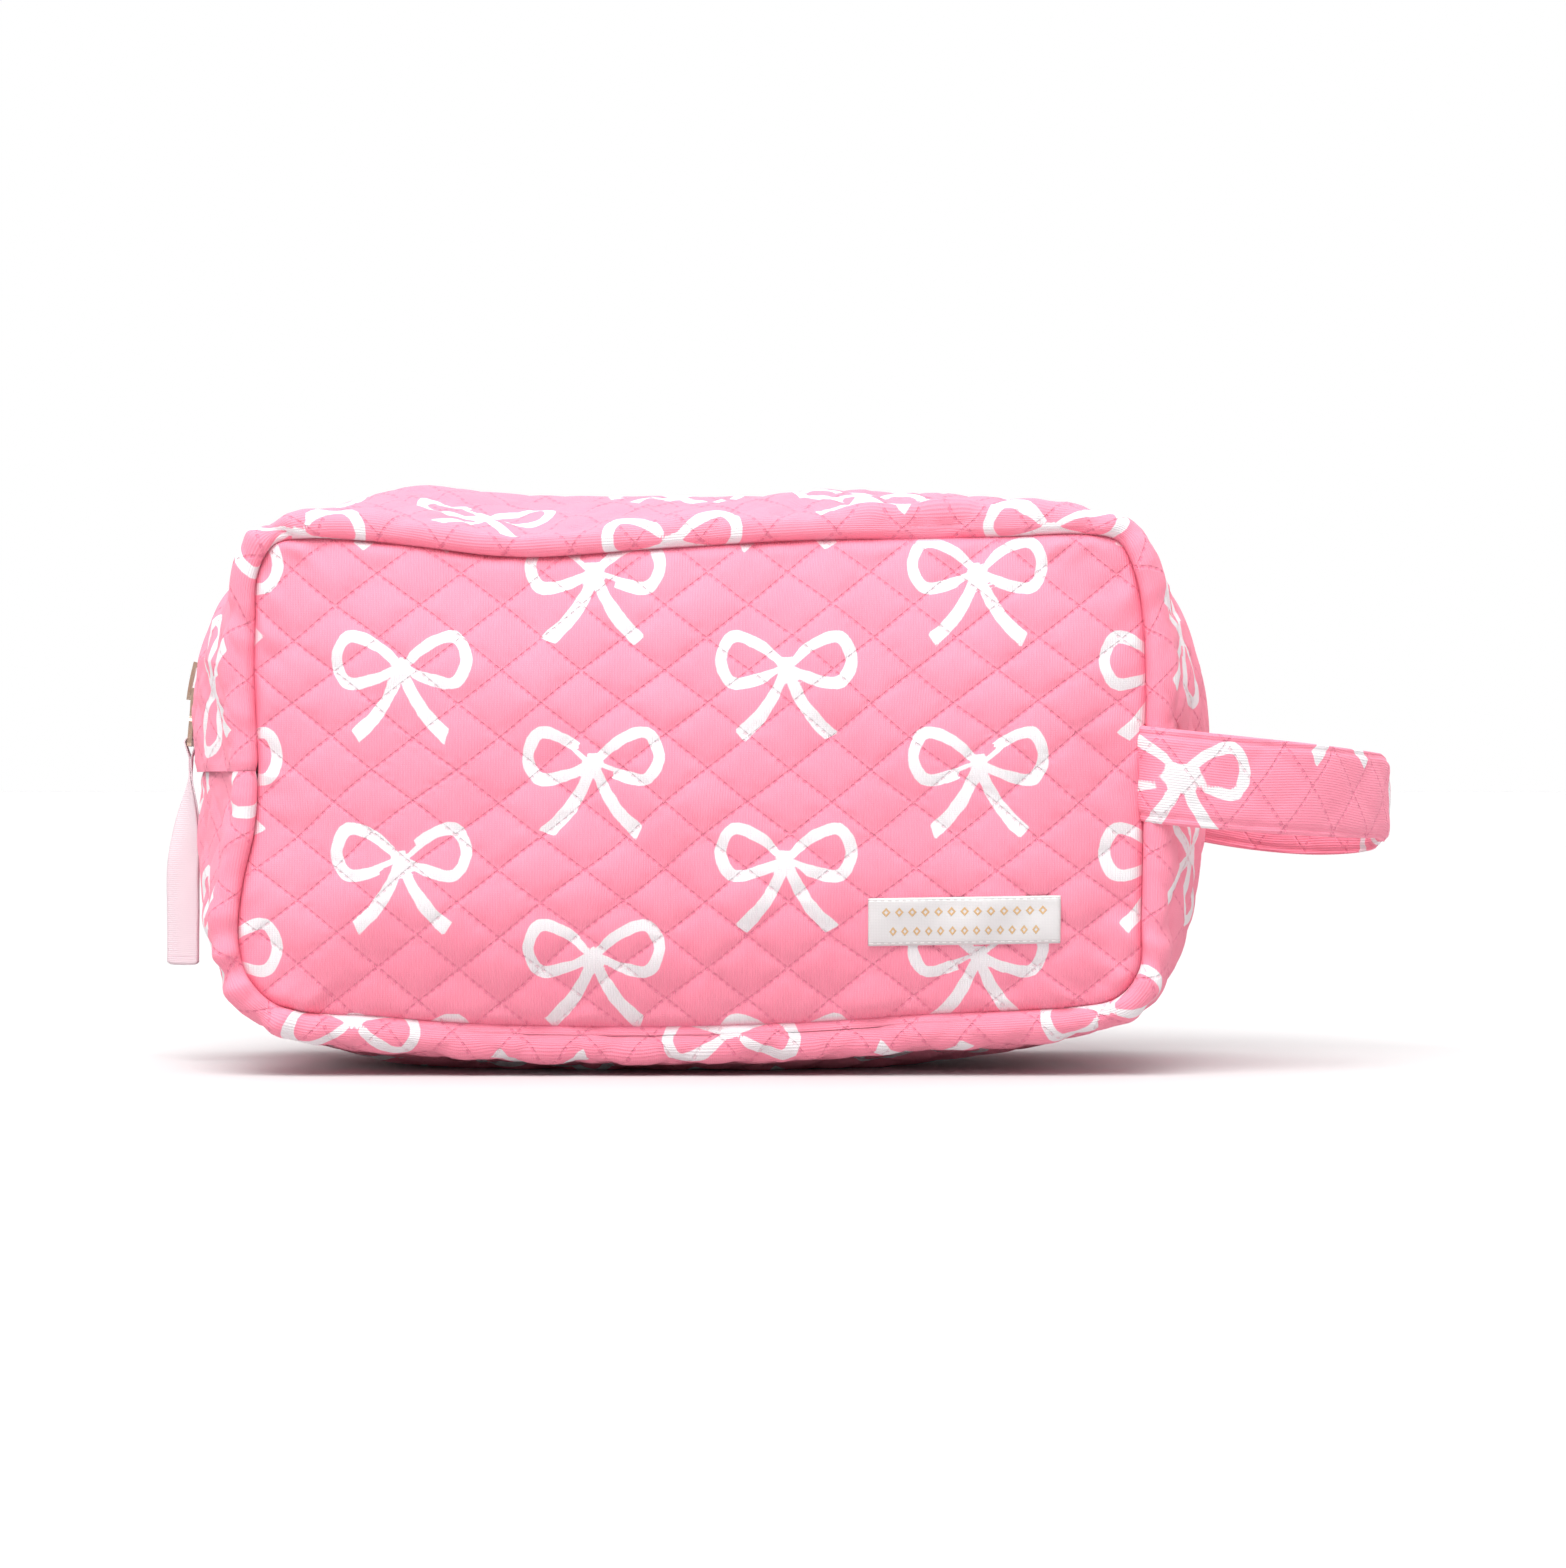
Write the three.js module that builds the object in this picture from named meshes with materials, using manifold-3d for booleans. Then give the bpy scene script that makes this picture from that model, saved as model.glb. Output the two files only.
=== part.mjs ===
// A quilted makeup bag that stands on its base. Two crowned panels, front and back, are joined by a strip that
// runs all the way round them: a base strip below and two zip strips above, which meet at a zip over the top.
// A wrist strap is sewn into both seams at one end, and the slider of the zip hangs closed at the other.
//
// Millimetres, +Z up. X runs along the bag towards the strap, and the front panel faces -Y.
// The origin is the middle of the flat patch of the base that rests on the table.
import * as THREE from "three";
import { mergeVertices } from "three/addons/utils/BufferGeometryUtils.js";
import Module from "manifold-3d";

const wasm = await Module();
wasm.setup();

// ---- Driving dimensions ----
const SEAM_HALF_LENGTH = 118.5;
const SEAM_BOTTOM = 13;
const SEAM_TOP = 140.5;
const SEAM_DEPTH = 54; // each panel seam stands this far from the middle of the bag
const SEAM_TOP_RADIUS = 20;
const SEAM_BOTTOM_RADIUS = 24;
const BODY_REACH = { left: 137.5, right: 141.3 }; // at the crest, halfway between the two panels
const BODY_TOP = 158;
const CREST_RADIUS = 66; // of the crest round each top corner, which the zip follows
const FOLD = 2.2; // exponent of the superellipse from a seam to the crest
const FLATTEN = 1.05; // cuts the superellipse off flat along the crest
const PANEL_CROWN = 9;

const CLOTH = 3; // quilted cloth: printed jersey, batting and backing
const LINING = 0.6;
const TAPE = 0.6;
const GAP = 0.4; // between layers that touch on the real bag

const END_SEAM_Z = 80; // where the zip strips are sewn to the base strip
const FLAT_HALF_LENGTH = 45; // of the patch that rests on the table
const BASE_SPLIT_X = 15; // the base strip is one cloth in two nodes, so that each rests on a patch of its own
const LIP_HALF_LENGTH = 66; // the stretch of each zip strip that folds open
const STRIP_EDGE = 6.5; // from the middle of the zip to the folded edge of each strip
const TAPE_EDGE = 14;

const COIL_INNER = 1.1;
const COIL_OUTER = 3.6;
const COIL_TOP = 1.5; // below the outer face of the cloth
const COIL_HEIGHT = 2.2;
const TAPE_TOP = COIL_TOP + COIL_HEIGHT + 0.3;
const LINING_TOP = TAPE_TOP + TAPE + 1.5 * GAP;

const SLIDER_AT = 11.4; // degrees round the crest's arc from its foot
const SLIDER_HALF_ANGLE = 5.2;
const SLIDER_HALF_WIDTH = 5;
const SLIDER_PLATE = 1;
const PULL_LEAN = 4; // degrees out from the vertical
const PULL_LENGTH = 14.5; // from the slider's bridge to the bar that holds the ribbon
const RIBBON_LENGTH = 61;
const RIBBON_WIDTH = 10;

const STRAP_WIDTH = 25;
const STRAP_THICKNESS = 3;
const STRAP_REACH = 69;
const STRAP_BASE_Z = 80;
const STRAP_DROOP = 9;
const STRAP_SWING = 15; // degrees up and down that its sewn ends allow

const LABEL_WIDTH = 50;
const LABEL_HEIGHT = 12.4;

// ---- Materials ----
const cloth = new THREE.MeshStandardMaterial({ color: 0xf995b4, roughness: 0.9 });
const lining = new THREE.MeshStandardMaterial({ color: 0xf6e3e8, roughness: 0.7 });
const tapeCloth = new THREE.MeshStandardMaterial({ color: 0xf6aec4, roughness: 0.85 });
const coilPlastic = new THREE.MeshStandardMaterial({ color: 0xf3a2bb, roughness: 0.45 });
const brass = new THREE.MeshStandardMaterial({ color: 0xb18a6c, roughness: 0.35, metalness: 1 });
const ribbonSatin = new THREE.MeshStandardMaterial({ color: 0xf2dfe4, roughness: 0.6 });
const labelCloth = new THREE.MeshStandardMaterial({ color: 0xebe8e8, roughness: 0.8 });

const radians = THREE.MathUtils.degToRad;
const bag = new THREE.Group();

function place(name, geometry, material, parent = bag) {
  const mesh = new THREE.Mesh(geometry, material);
  mesh.name = name;
  parent.add(mesh);
  return mesh;
}

// ---- Closed solids from grids of points, and booleans ----

function volumeOf(corners) {
  let six = 0;
  for (let i = 0; i < corners.length; i += 3) {
    six += corners[i].dot(new THREE.Vector3().crossVectors(corners[i + 1], corners[i + 2]));
  }
  return six / 6;
}

// A solid between two matching grids: both skins and the rim that joins them. Rows that wrap make a ring,
// and a first column that is all one point makes a disc.
function shellBetween(outer, inner, wraps = false) {
  const corners = [];
  const triangle = (a, b, c) => {
    if (!a.equals(b) && !b.equals(c) && !c.equals(a)) corners.push(a, b, c);
  };
  const quad = (a, b, c, d) => {
    triangle(a, b, c);
    triangle(a, c, d);
  };
  const rows = outer.length;
  const end = outer[0].length - 1;
  for (let i = 0; i < (wraps ? rows : rows - 1); i++) {
    const k = (i + 1) % rows;
    for (let j = 0; j < end; j++) {
      quad(outer[i][j], outer[k][j], outer[k][j + 1], outer[i][j + 1]);
      quad(inner[i][j], inner[i][j + 1], inner[k][j + 1], inner[k][j]);
    }
    quad(outer[i][0], inner[i][0], inner[k][0], outer[k][0]);
    quad(outer[k][end], inner[k][end], inner[i][end], outer[i][end]);
  }
  if (!wraps) {
    for (let j = 0; j < end; j++) {
      quad(outer[0][j], outer[0][j + 1], inner[0][j + 1], inner[0][j]);
      quad(outer[rows - 1][j + 1], outer[rows - 1][j], inner[rows - 1][j], inner[rows - 1][j + 1]);
    }
  }
  if (volumeOf(corners) < 0) corners.reverse();
  return mergeVertices(new THREE.BufferGeometry().setFromPoints(corners));
}

function toSolid(geometry) {
  const bare = geometry.clone();
  bare.deleteAttribute("normal");
  bare.deleteAttribute("uv");
  const merged = mergeVertices(bare);
  return new wasm.Manifold(
    new wasm.Mesh({
      numProp: 3,
      vertProperties: new Float32Array(merged.attributes.position.array),
      triVerts: new Uint32Array(merged.index.array),
    }),
  );
}

function toGeometry(solid) {
  const mesh = solid.getMesh();
  return new THREE.BufferGeometry()
    .setAttribute("position", new THREE.BufferAttribute(mesh.vertProperties, 3))
    .setIndex(new THREE.BufferAttribute(mesh.triVerts, 1));
}

function joined(...geometries) {
  return toGeometry(geometries.map(toSolid).reduce((whole, part) => whole.add(part)));
}

// The points of a closed path, each of them once.
function outlineOf(path, divisions = 6) {
  const points = path.getPoints(divisions);
  return points.filter((at, i) => at.distanceTo(points[(i + 1) % points.length]) > 0.01);
}

// ---- Stations round the bag: a point on the panel seam and the crest point that faces it ----

const CREST_CENTRE_Z = BODY_TOP - CREST_RADIUS;
const BELLY_Z = 66; // the crest stands upright from here to the foot of its top arc
const bagSides = [["left", -1], ["right", 1]];
const reachOf = (side) => (side < 0 ? BODY_REACH.left : BODY_REACH.right);

const seamTopCorner = new THREE.Path()
  .moveTo(SEAM_HALF_LENGTH, CREST_CENTRE_Z)
  .lineTo(SEAM_HALF_LENGTH, SEAM_TOP - SEAM_TOP_RADIUS)
  .absarc(SEAM_HALF_LENGTH - SEAM_TOP_RADIUS, SEAM_TOP - SEAM_TOP_RADIUS, SEAM_TOP_RADIUS, 0, Math.PI / 2)
  .lineTo(BODY_REACH.left - CREST_RADIUS, SEAM_TOP);
const seamBottomCorner = new THREE.Path()
  .moveTo(SEAM_HALF_LENGTH, BELLY_Z)
  .lineTo(SEAM_HALF_LENGTH, SEAM_BOTTOM + SEAM_BOTTOM_RADIUS)
  .absarc(
    SEAM_HALF_LENGTH - SEAM_BOTTOM_RADIUS,
    SEAM_BOTTOM + SEAM_BOTTOM_RADIUS,
    SEAM_BOTTOM_RADIUS,
    0,
    -Math.PI / 2,
    true,
  )
  .lineTo(FLAT_HALF_LENGTH, SEAM_BOTTOM);

// The crest's arc round a top corner. above is the distance outside the cloth, and degrees runs from 0 at the
// arc's foot to 90 where it meets the flat top. side is -1 at the slider's end of the bag and 1 at the strap's.
function crestArc(side, degrees, above = 0) {
  return new THREE.Vector2(CREST_RADIUS + above, 0)
    .rotateAround(new THREE.Vector2(), radians(degrees))
    .add(new THREE.Vector2(reachOf(side) - CREST_RADIUS, CREST_CENTRE_Z));
}

function crestBottomCorner(side) {
  return new THREE.CubicBezierCurve(
    new THREE.Vector2(reachOf(side), BELLY_Z),
    new THREE.Vector2(reachOf(side), 18),
    new THREE.Vector2(100, 0),
    new THREE.Vector2(FLAT_HALF_LENGTH, 0),
  );
}

function station(side, seam, crest) {
  return {
    seam: new THREE.Vector3(side * seam.x, 0, seam.y),
    crest: new THREE.Vector3(side * crest.x, 0, crest.y),
  };
}

function endStation(side, z) {
  return station(side, { x: SEAM_HALF_LENGTH, y: z }, { x: reachOf(side), y: z });
}

function topCornerStation(side, degrees) {
  return station(side, seamTopCorner.getPointAt(degrees / 90), crestArc(side, degrees));
}

function bottomCornerStation(side, share) {
  return station(side, seamBottomCorner.getPointAt(share), crestBottomCorner(side).getPointAt(share));
}

const topStation = (x) => station(1, { x, y: SEAM_TOP }, { x, y: BODY_TOP });
const floorStation = (x) => station(1, { x, y: SEAM_BOTTOM }, { x, y: 0 });

function steps(from, to, count) {
  return Array.from({ length: count + 1 }, (_, i) => from + ((to - from) * i) / count);
}

function zipSideStations(side, startZ = END_SEAM_Z + GAP / 2) {
  return [
    endStation(side, startZ),
    ...steps(0, 90, 12).map((degrees) => topCornerStation(side, degrees)),
    topStation(side * (LIP_HALF_LENGTH + GAP / 2)),
  ];
}

function lipStations() {
  return steps(-LIP_HALF_LENGTH + GAP / 2, LIP_HALF_LENGTH - GAP / 2, 4).map(topStation);
}

// From the cross seam at one end, down and under the bag, to where the base strip's two nodes meet.
function baseHalfStations(side) {
  return [
    endStation(side, END_SEAM_Z - GAP / 2),
    ...steps(0, 1, 10).map((share) => bottomCornerStation(side, share)),
    floorStation(BASE_SPLIT_X + (side * GAP) / 2),
  ];
}

function baseStations() {
  return [...baseHalfStations(-1), ...baseHalfStations(1).reverse()];
}

// ---- The skin between the seams ----

// A point of the outer skin at a station, at depth y from the middle, sunk below it by the given distance.
function skinPoint({ seam, crest }, y, sunk) {
  const across = new THREE.Vector3().subVectors(crest, seam);
  const width = Math.abs(y) / SEAM_DEPTH;
  const rise = Math.min(FLATTEN * (1 - width ** FOLD) ** (1 / FOLD), 1);
  const normal = across
    .clone()
    .multiplyScalar(rise ** (FOLD - 1) / across.lengthSq())
    .add(new THREE.Vector3(0, (Math.sign(y) * width ** (FOLD - 1)) / SEAM_DEPTH, 0))
    .normalize();
  return seam
    .clone()
    .addScaledVector(across, rise)
    .add(new THREE.Vector3(0, y, 0))
    .addScaledVector(normal, -sunk);
}

function layer(stations, depths, top, thickness) {
  const skin = (sunk) => stations.map((at) => depths.map((y) => skinPoint(at, y, sunk)));
  return shellBetween(skin(top), skin(top + thickness));
}

// Depths from one seam towards an edge, closer together where the skin turns at the seam.
function depthsFrom(side, edge, count) {
  const last = Math.acos((edge / SEAM_DEPTH) ** (FOLD / 2));
  return steps(0, last, count).map((turn) => side * SEAM_DEPTH * Math.cos(turn) ** (2 / FOLD));
}

// ---- Panels, and the bound seams behind them ----

const PANEL_MIDDLE = new THREE.Vector2(0, (SEAM_BOTTOM + SEAM_TOP) / 2);
const SEAM_HALF_HEIGHT = (SEAM_TOP - SEAM_BOTTOM) / 2;
const seamStations = [
  ...baseStations(),
  ...zipSideStations(1),
  ...lipStations().reverse(),
  ...zipSideStations(-1).reverse(),
];

// The seam's outline, drawn in by the given distance at its sides.
function seamLoop(inset) {
  return seamStations.map(
    ({ seam }) =>
      new THREE.Vector2(
        seam.x * (1 - inset / SEAM_HALF_LENGTH),
        PANEL_MIDDLE.y + (seam.z - PANEL_MIDDLE.y) * (1 - inset / SEAM_HALF_HEIGHT),
      ),
  );
}

const PANEL_RINGS = [0, 0.45, 0.7, 0.88, 1];
const crownAt = (share) => PANEL_CROWN * (1 - share ** 3);

// A crowned panel: side is -1 for the front and 1 for the back.
function crownedPanel(side, inset, behind, thickness) {
  const face = (back) =>
    seamLoop(inset).map((rim) =>
      PANEL_RINGS.map((share) => {
        const at = PANEL_MIDDLE.clone().lerp(rim, share);
        return new THREE.Vector3(at.x, side * (SEAM_DEPTH + crownAt(share) - back), at.y);
      }),
    );
  return shellBetween(face(behind), face(behind + thickness), true);
}

function seamBinding(side) {
  const start = SEAM_DEPTH - CLOTH - LINING - 2.5 * GAP;
  const wall = (inset) =>
    seamLoop(inset).map((rim) =>
      [start, start - 7.5].map((depth) => new THREE.Vector3(rim.x, side * depth, rim.y)),
    );
  return shellBetween(wall(2.6), wall(4.6), true);
}

for (const [name, side] of [["front", -1], ["back", 1]]) {
  place(`${name}_panel`, crownedPanel(side, GAP / 2, 0, CLOTH), cloth);
  place(`${name}_panel_lining`, crownedPanel(side, 1.2, CLOTH + GAP, LINING), lining);
  place(`${name}_seam_binding`, seamBinding(side), tapeCloth);
}

// ---- Base strip ----

const halfBase = depthsFrom(-1, 0, 5);
const baseDepths = [...halfBase, ...halfBase.slice(0, -1).reverse().map((y) => -y)];
place("base_strip_left", layer(baseHalfStations(-1), baseDepths, 0, CLOTH), cloth);
place("base_strip_right", layer(baseHalfStations(1).reverse(), baseDepths, 0, CLOTH), cloth);
place("base_lining", layer(baseStations(), baseDepths, LINING_TOP, LINING), lining);

// ---- Zip strips, tapes, coils and linings: two fixed sides and one lip that folds open, front and back ----

const STOP_FROM = 2.8; // degrees round the crest's arc
const STOP_TO = 4.8;

function coilSideStations(side) {
  return [
    ...steps(STOP_TO + 0.6, 90, 12).map((degrees) => topCornerStation(side, degrees)),
    topStation(side * (LIP_HALF_LENGTH + GAP / 2)),
  ];
}

for (const [face, depthSide] of [["front", -1], ["back", 1]]) {
  const stretches = [
    ...bagSides.map(([end, side]) => [`${face}_zip_strip_${end}`, zipSideStations(side), coilSideStations(side)]),
    [`${face}_zip_strip_lip`, lipStations(), lipStations()],
  ];
  const stripDepths = depthsFrom(depthSide, STRIP_EDGE, 5);
  const tapeDepths = [COIL_INNER + 0.5, STRIP_EDGE, TAPE_EDGE].map((y) => depthSide * y);
  const coilDepths = [COIL_INNER, COIL_OUTER].map((y) => depthSide * y);
  const liningDepths = depthsFrom(depthSide, STRIP_EDGE + 1, 5);
  for (const [strip, stations, coilStations] of stretches) {
    place(strip, layer(stations, stripDepths, 0, CLOTH), cloth);
    place(
      strip.replace("zip_strip", "strip_lining"),
      layer(stations, liningDepths, LINING_TOP, LINING),
      lining,
    );
    place(strip.replace("zip_strip", "zip_tape"), layer(stations, tapeDepths, TAPE_TOP, TAPE), tapeCloth);
    place(
      strip.replace("zip_strip", "zip_coil"),
      layer(coilStations, coilDepths, COIL_TOP, COIL_HEIGHT),
      coilPlastic,
    );
  }
}

// The seam allowance at each end, folded flat and bound, inside the lining.
for (const [end, side] of bagSides) {
  const stations = [END_SEAM_Z - 4, END_SEAM_Z + 4].map((z) => endStation(side, z));
  const depths = steps(-36, 36, 8);
  const top = LINING_TOP + LINING + 1.5 * GAP;
  place(`${end}_end_seam_binding`, layer(stations, depths, top, 1.8), tapeCloth);
}

// ---- Stops ----

// A block that follows the crest's arc, between two angles, two distances above the outer skin and two depths.
function arcBlock(side, [from, to], [low, high], [front, back], count = 2) {
  const face = (above) =>
    steps(from, to, count).map((degrees) => {
      const reach = crestArc(side, degrees, above);
      return [front, back].map((y) => new THREE.Vector3(side * reach.x, y, reach.y));
    });
  return shellBetween(face(high), face(low));
}

const stopHeights = [-TAPE_TOP + 0.3, -COIL_TOP + 0.2];
const STOP_EDGE = COIL_OUTER + 0.3;
const stopSpan = [STOP_FROM, STOP_TO];
place("top_stop_front", arcBlock(-1, stopSpan, stopHeights, [-STOP_EDGE, -COIL_INNER]), brass);
place("top_stop_back", arcBlock(-1, stopSpan, stopHeights, [COIL_INNER, STOP_EDGE]), brass);
place("bottom_stop", arcBlock(1, stopSpan, stopHeights, [-STOP_EDGE, STOP_EDGE]), brass);

// ---- Slider: two plates joined by a post, guide flanges, and a bridge that holds the pull ----

const SLIDER_CLEAR = 0.4;
const plateLow = -COIL_TOP + SLIDER_CLEAR;
const plateHigh = plateLow + SLIDER_PLATE;
const underHigh = -(TAPE_TOP + TAPE) - SLIDER_CLEAR;
const underLow = underHigh - SLIDER_PLATE;
const BRIDGE_HALF_WIDTH = 1.2;
const BRIDGE_WINDOW = 1.8; // height of the slot under the bridge
const BRIDGE_BAR = 0.9;
const PIVOT_ABOVE = plateHigh + 0.9;
const PIVOT_AT = 9; // degrees round the crest's arc

function sliderBody() {
  const from = SLIDER_AT - SLIDER_HALF_ANGLE;
  const to = SLIDER_AT + SLIDER_HALF_ANGLE;
  const wide = [-SLIDER_HALF_WIDTH, SLIDER_HALF_WIDTH];
  const flangeLow = -TAPE_TOP + SLIDER_CLEAR;
  const bridge = [-BRIDGE_HALF_WIDTH, BRIDGE_HALF_WIDTH];
  const windowTop = plateHigh + BRIDGE_WINDOW;
  const barTop = windowTop + BRIDGE_BAR;
  const leg = 1.2; // degrees
  const bridgeFrom = from + 0.4;
  const bridgeTo = to - 1.1;
  return joined(
    arcBlock(-1, [from, to], [plateLow, plateHigh], wide, 4),
    arcBlock(-1, [from, to], [underLow, underHigh], wide, 4),
    arcBlock(-1, [from, to], [flangeLow, plateLow + 0.1], [-SLIDER_HALF_WIDTH, -4.1], 4),
    arcBlock(-1, [from, to], [flangeLow, plateLow + 0.1], [4.1, SLIDER_HALF_WIDTH], 4),
    arcBlock(-1, [to - 2.4, to - 0.2], [underHigh - 0.1, plateLow + 0.1], [-0.7, 0.7]),
    arcBlock(-1, [bridgeFrom, bridgeFrom + leg], [plateHigh - 0.1, barTop], bridge),
    arcBlock(-1, [bridgeTo - leg, bridgeTo], [plateHigh - 0.1, barTop], bridge),
    arcBlock(-1, [bridgeFrom, bridgeTo], [windowTop, barTop], bridge, 4),
  );
}
place("slider_body", sliderBody(), brass);

// ---- Pull: a flat drop with a window for the bridge and an eye for the ribbon ----

const PULL_THICKNESS = 1.2;
const EYE_HALF_WIDTH = 2.7;
const EYE_TOP = 3.1; // above the bar's centre
const BAR_HALF_HEIGHT = 1;

function pullPlate() {
  const outline = new THREE.Path()
    .moveTo(-2.9, 0.6)
    .lineTo(2.9, 0.6)
    .lineTo(2.9, -4)
    .quadraticCurveTo(2.4, -6.5, 3.2, -8.5)
    .lineTo(3.9, 0.5 - PULL_LENGTH)
    .absarc(2.9, -PULL_LENGTH, BAR_HALF_HEIGHT, 0, -Math.PI / 2, true)
    .lineTo(-2.9, -PULL_LENGTH - BAR_HALF_HEIGHT)
    .absarc(-2.9, -PULL_LENGTH, BAR_HALF_HEIGHT, -Math.PI / 2, -Math.PI, true)
    .lineTo(-3.9, 0.5 - PULL_LENGTH)
    .lineTo(-3.2, -8.5)
    .quadraticCurveTo(-2.4, -6.5, -2.9, -4)
    .closePath();
  const opening = (halfWidth, low, high) =>
    new THREE.Path().setFromPoints([
      new THREE.Vector2(-halfWidth, low),
      new THREE.Vector2(halfWidth, low),
      new THREE.Vector2(halfWidth, high),
      new THREE.Vector2(-halfWidth, high),
    ]);
  const plate = new THREE.Shape(outlineOf(outline));
  plate.holes.push(opening(1.7, -4.2, -0.6));
  plate.holes.push(opening(EYE_HALF_WIDTH, -PULL_LENGTH + BAR_HALF_HEIGHT, -PULL_LENGTH + EYE_TOP));
  // The plate is drawn in (Y, Z) and extruded along X.
  return new THREE.ExtrudeGeometry(plate, { depth: PULL_THICKNESS, bevelEnabled: false })
    .translate(0, 0, -PULL_THICKNESS / 2)
    .rotateX(Math.PI / 2)
    .rotateZ(Math.PI / 2);
}

const pivotReach = crestArc(-1, PIVOT_AT, PIVOT_ABOVE);
const pullGroup = new THREE.Group();
pullGroup.position.set(-pivotReach.x, 0, pivotReach.y);
pullGroup.rotation.y = radians(PULL_LEAN);
place("pull_tab", pullPlate(), brass, pullGroup);
bag.add(pullGroup);

// ---- Ribbon: one tape through the eye and sewn to itself, pinched at the bar and twisted lower down ----

const RIBBON_LAYER = 0.6;
const RIBBON_LOOP = 1.6; // inner radius round the bar
const RIBBON_SPLIT = 0.25; // half the space between its two layers
const RIBBON_HEM = 6;
const RIBBON_PINCH = 2.2; // half its width where it passes through the eye
const RIBBON_TWIST = 60; // degrees at its lower end
const RIBBON_DRIFT = 1.2; // of its lower end away from the bag

function ribbonTape() {
  const ramp = (z, from, to) => THREE.MathUtils.smoothstep(-z, from, to);
  const column = (x, z) => {
    const half = THREE.MathUtils.lerp(RIBBON_PINCH, RIBBON_WIDTH / 2, ramp(z, 2, 14));
    const twist = radians(RIBBON_TWIST) * ramp(z, 20, RIBBON_LENGTH);
    return [-half, half].map((y) =>
      new THREE.Vector3(x, y, z)
        .applyAxisAngle(new THREE.Vector3(0, 0, 1), twist)
        .add(new THREE.Vector3(-RIBBON_DRIFT * ramp(z, 10, RIBBON_LENGTH), 0, 0)),
    );
  };
  const face = (radius, half, low) => {
    const upright = steps(low, -5, 7);
    const round = steps(0, Math.PI, 6).map((turn) => [radius * Math.cos(turn), radius * Math.sin(turn)]);
    const path = [
      ...upright.map((z) => [half, z]),
      ...round,
      ...upright.reverse().map((z) => [-half, z]),
    ];
    return path.map(([x, z]) => column(x, z));
  };
  return shellBetween(
    face(RIBBON_LOOP + RIBBON_LAYER, RIBBON_SPLIT + RIBBON_LAYER, -RIBBON_LENGTH),
    face(RIBBON_LOOP, RIBBON_SPLIT, RIBBON_HEM - RIBBON_LENGTH),
    true,
  );
}

const ribbon = place("ribbon_puller", ribbonTape(), ribbonSatin);
const lean = radians(PULL_LEAN);
ribbon.position
  .copy(pullGroup.position)
  .add(new THREE.Vector3(-PULL_LENGTH * Math.sin(lean), 0, -PULL_LENGTH * Math.cos(lean)));

// ---- Wrist strap: a flat loop from the front seam to the back seam, drooping towards its tip ----

function wristStrap() {
  const root = SEAM_HALF_LENGTH + 0.7;
  const rootDepth = SEAM_DEPTH + GAP + STRAP_THICKNESS / 2;
  const slant = Math.tan(radians(STRAP_SWING + 1));
  const edge = (grow, up) =>
    steps(0, Math.PI, 28).map((turn) => {
      const along = Math.sin(turn);
      const height = (up * STRAP_WIDTH) / 2;
      const cutBack = slant * Math.abs(height) * (1 - along) ** 8;
      return new THREE.Vector3(
        root + cutBack + (STRAP_REACH + grow) * along,
        -(rootDepth + grow) * Math.cos(turn),
        STRAP_BASE_Z + height - STRAP_DROOP * along,
      );
    });
  const rails = (grow) => {
    const across = [-1, 0, 1].map((up) => edge(grow, up));
    return across[0].map((_, i) => across.map((line) => line[i]));
  };
  return shellBetween(rails(STRAP_THICKNESS / 2), rails(-STRAP_THICKNESS / 2));
}
place("wrist_strap", wristStrap(), cloth);

// ---- Label: a woven strip sewn to the front panel, low down near the strap ----

function wovenLabel() {
  const left = 46.5;
  const bottom = 34.4;
  const lift = (sunk) =>
    steps(left, left + LABEL_WIDTH, 6).map((x) =>
      steps(bottom, bottom + LABEL_HEIGHT, 2).map((z) => {
        const share = Math.max(
          Math.abs(x) / SEAM_HALF_LENGTH,
          Math.abs(z - PANEL_MIDDLE.y) / SEAM_HALF_HEIGHT,
        );
        return new THREE.Vector3(x, -(SEAM_DEPTH + crownAt(share) + sunk), z);
      }),
    );
  return shellBetween(lift(1), lift(0.5));
}
place("label", wovenLabel(), labelCloth);

export default bag;
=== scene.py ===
import math

import bpy
import numpy as np
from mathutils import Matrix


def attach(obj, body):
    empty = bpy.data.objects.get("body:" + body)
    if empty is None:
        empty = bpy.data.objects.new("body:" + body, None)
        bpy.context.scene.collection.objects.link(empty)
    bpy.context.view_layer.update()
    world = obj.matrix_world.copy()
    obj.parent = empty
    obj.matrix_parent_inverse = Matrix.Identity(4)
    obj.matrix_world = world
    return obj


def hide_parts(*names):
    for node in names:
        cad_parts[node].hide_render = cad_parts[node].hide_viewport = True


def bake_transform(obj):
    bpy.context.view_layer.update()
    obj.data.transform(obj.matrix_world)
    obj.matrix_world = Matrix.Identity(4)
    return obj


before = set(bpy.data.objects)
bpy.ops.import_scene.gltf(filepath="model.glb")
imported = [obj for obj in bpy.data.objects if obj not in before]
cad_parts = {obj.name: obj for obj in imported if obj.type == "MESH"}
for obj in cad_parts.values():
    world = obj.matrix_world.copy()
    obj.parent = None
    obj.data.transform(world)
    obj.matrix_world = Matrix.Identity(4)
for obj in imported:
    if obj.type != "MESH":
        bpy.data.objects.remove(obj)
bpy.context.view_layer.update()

# ---- Form of the bag ----

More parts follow.
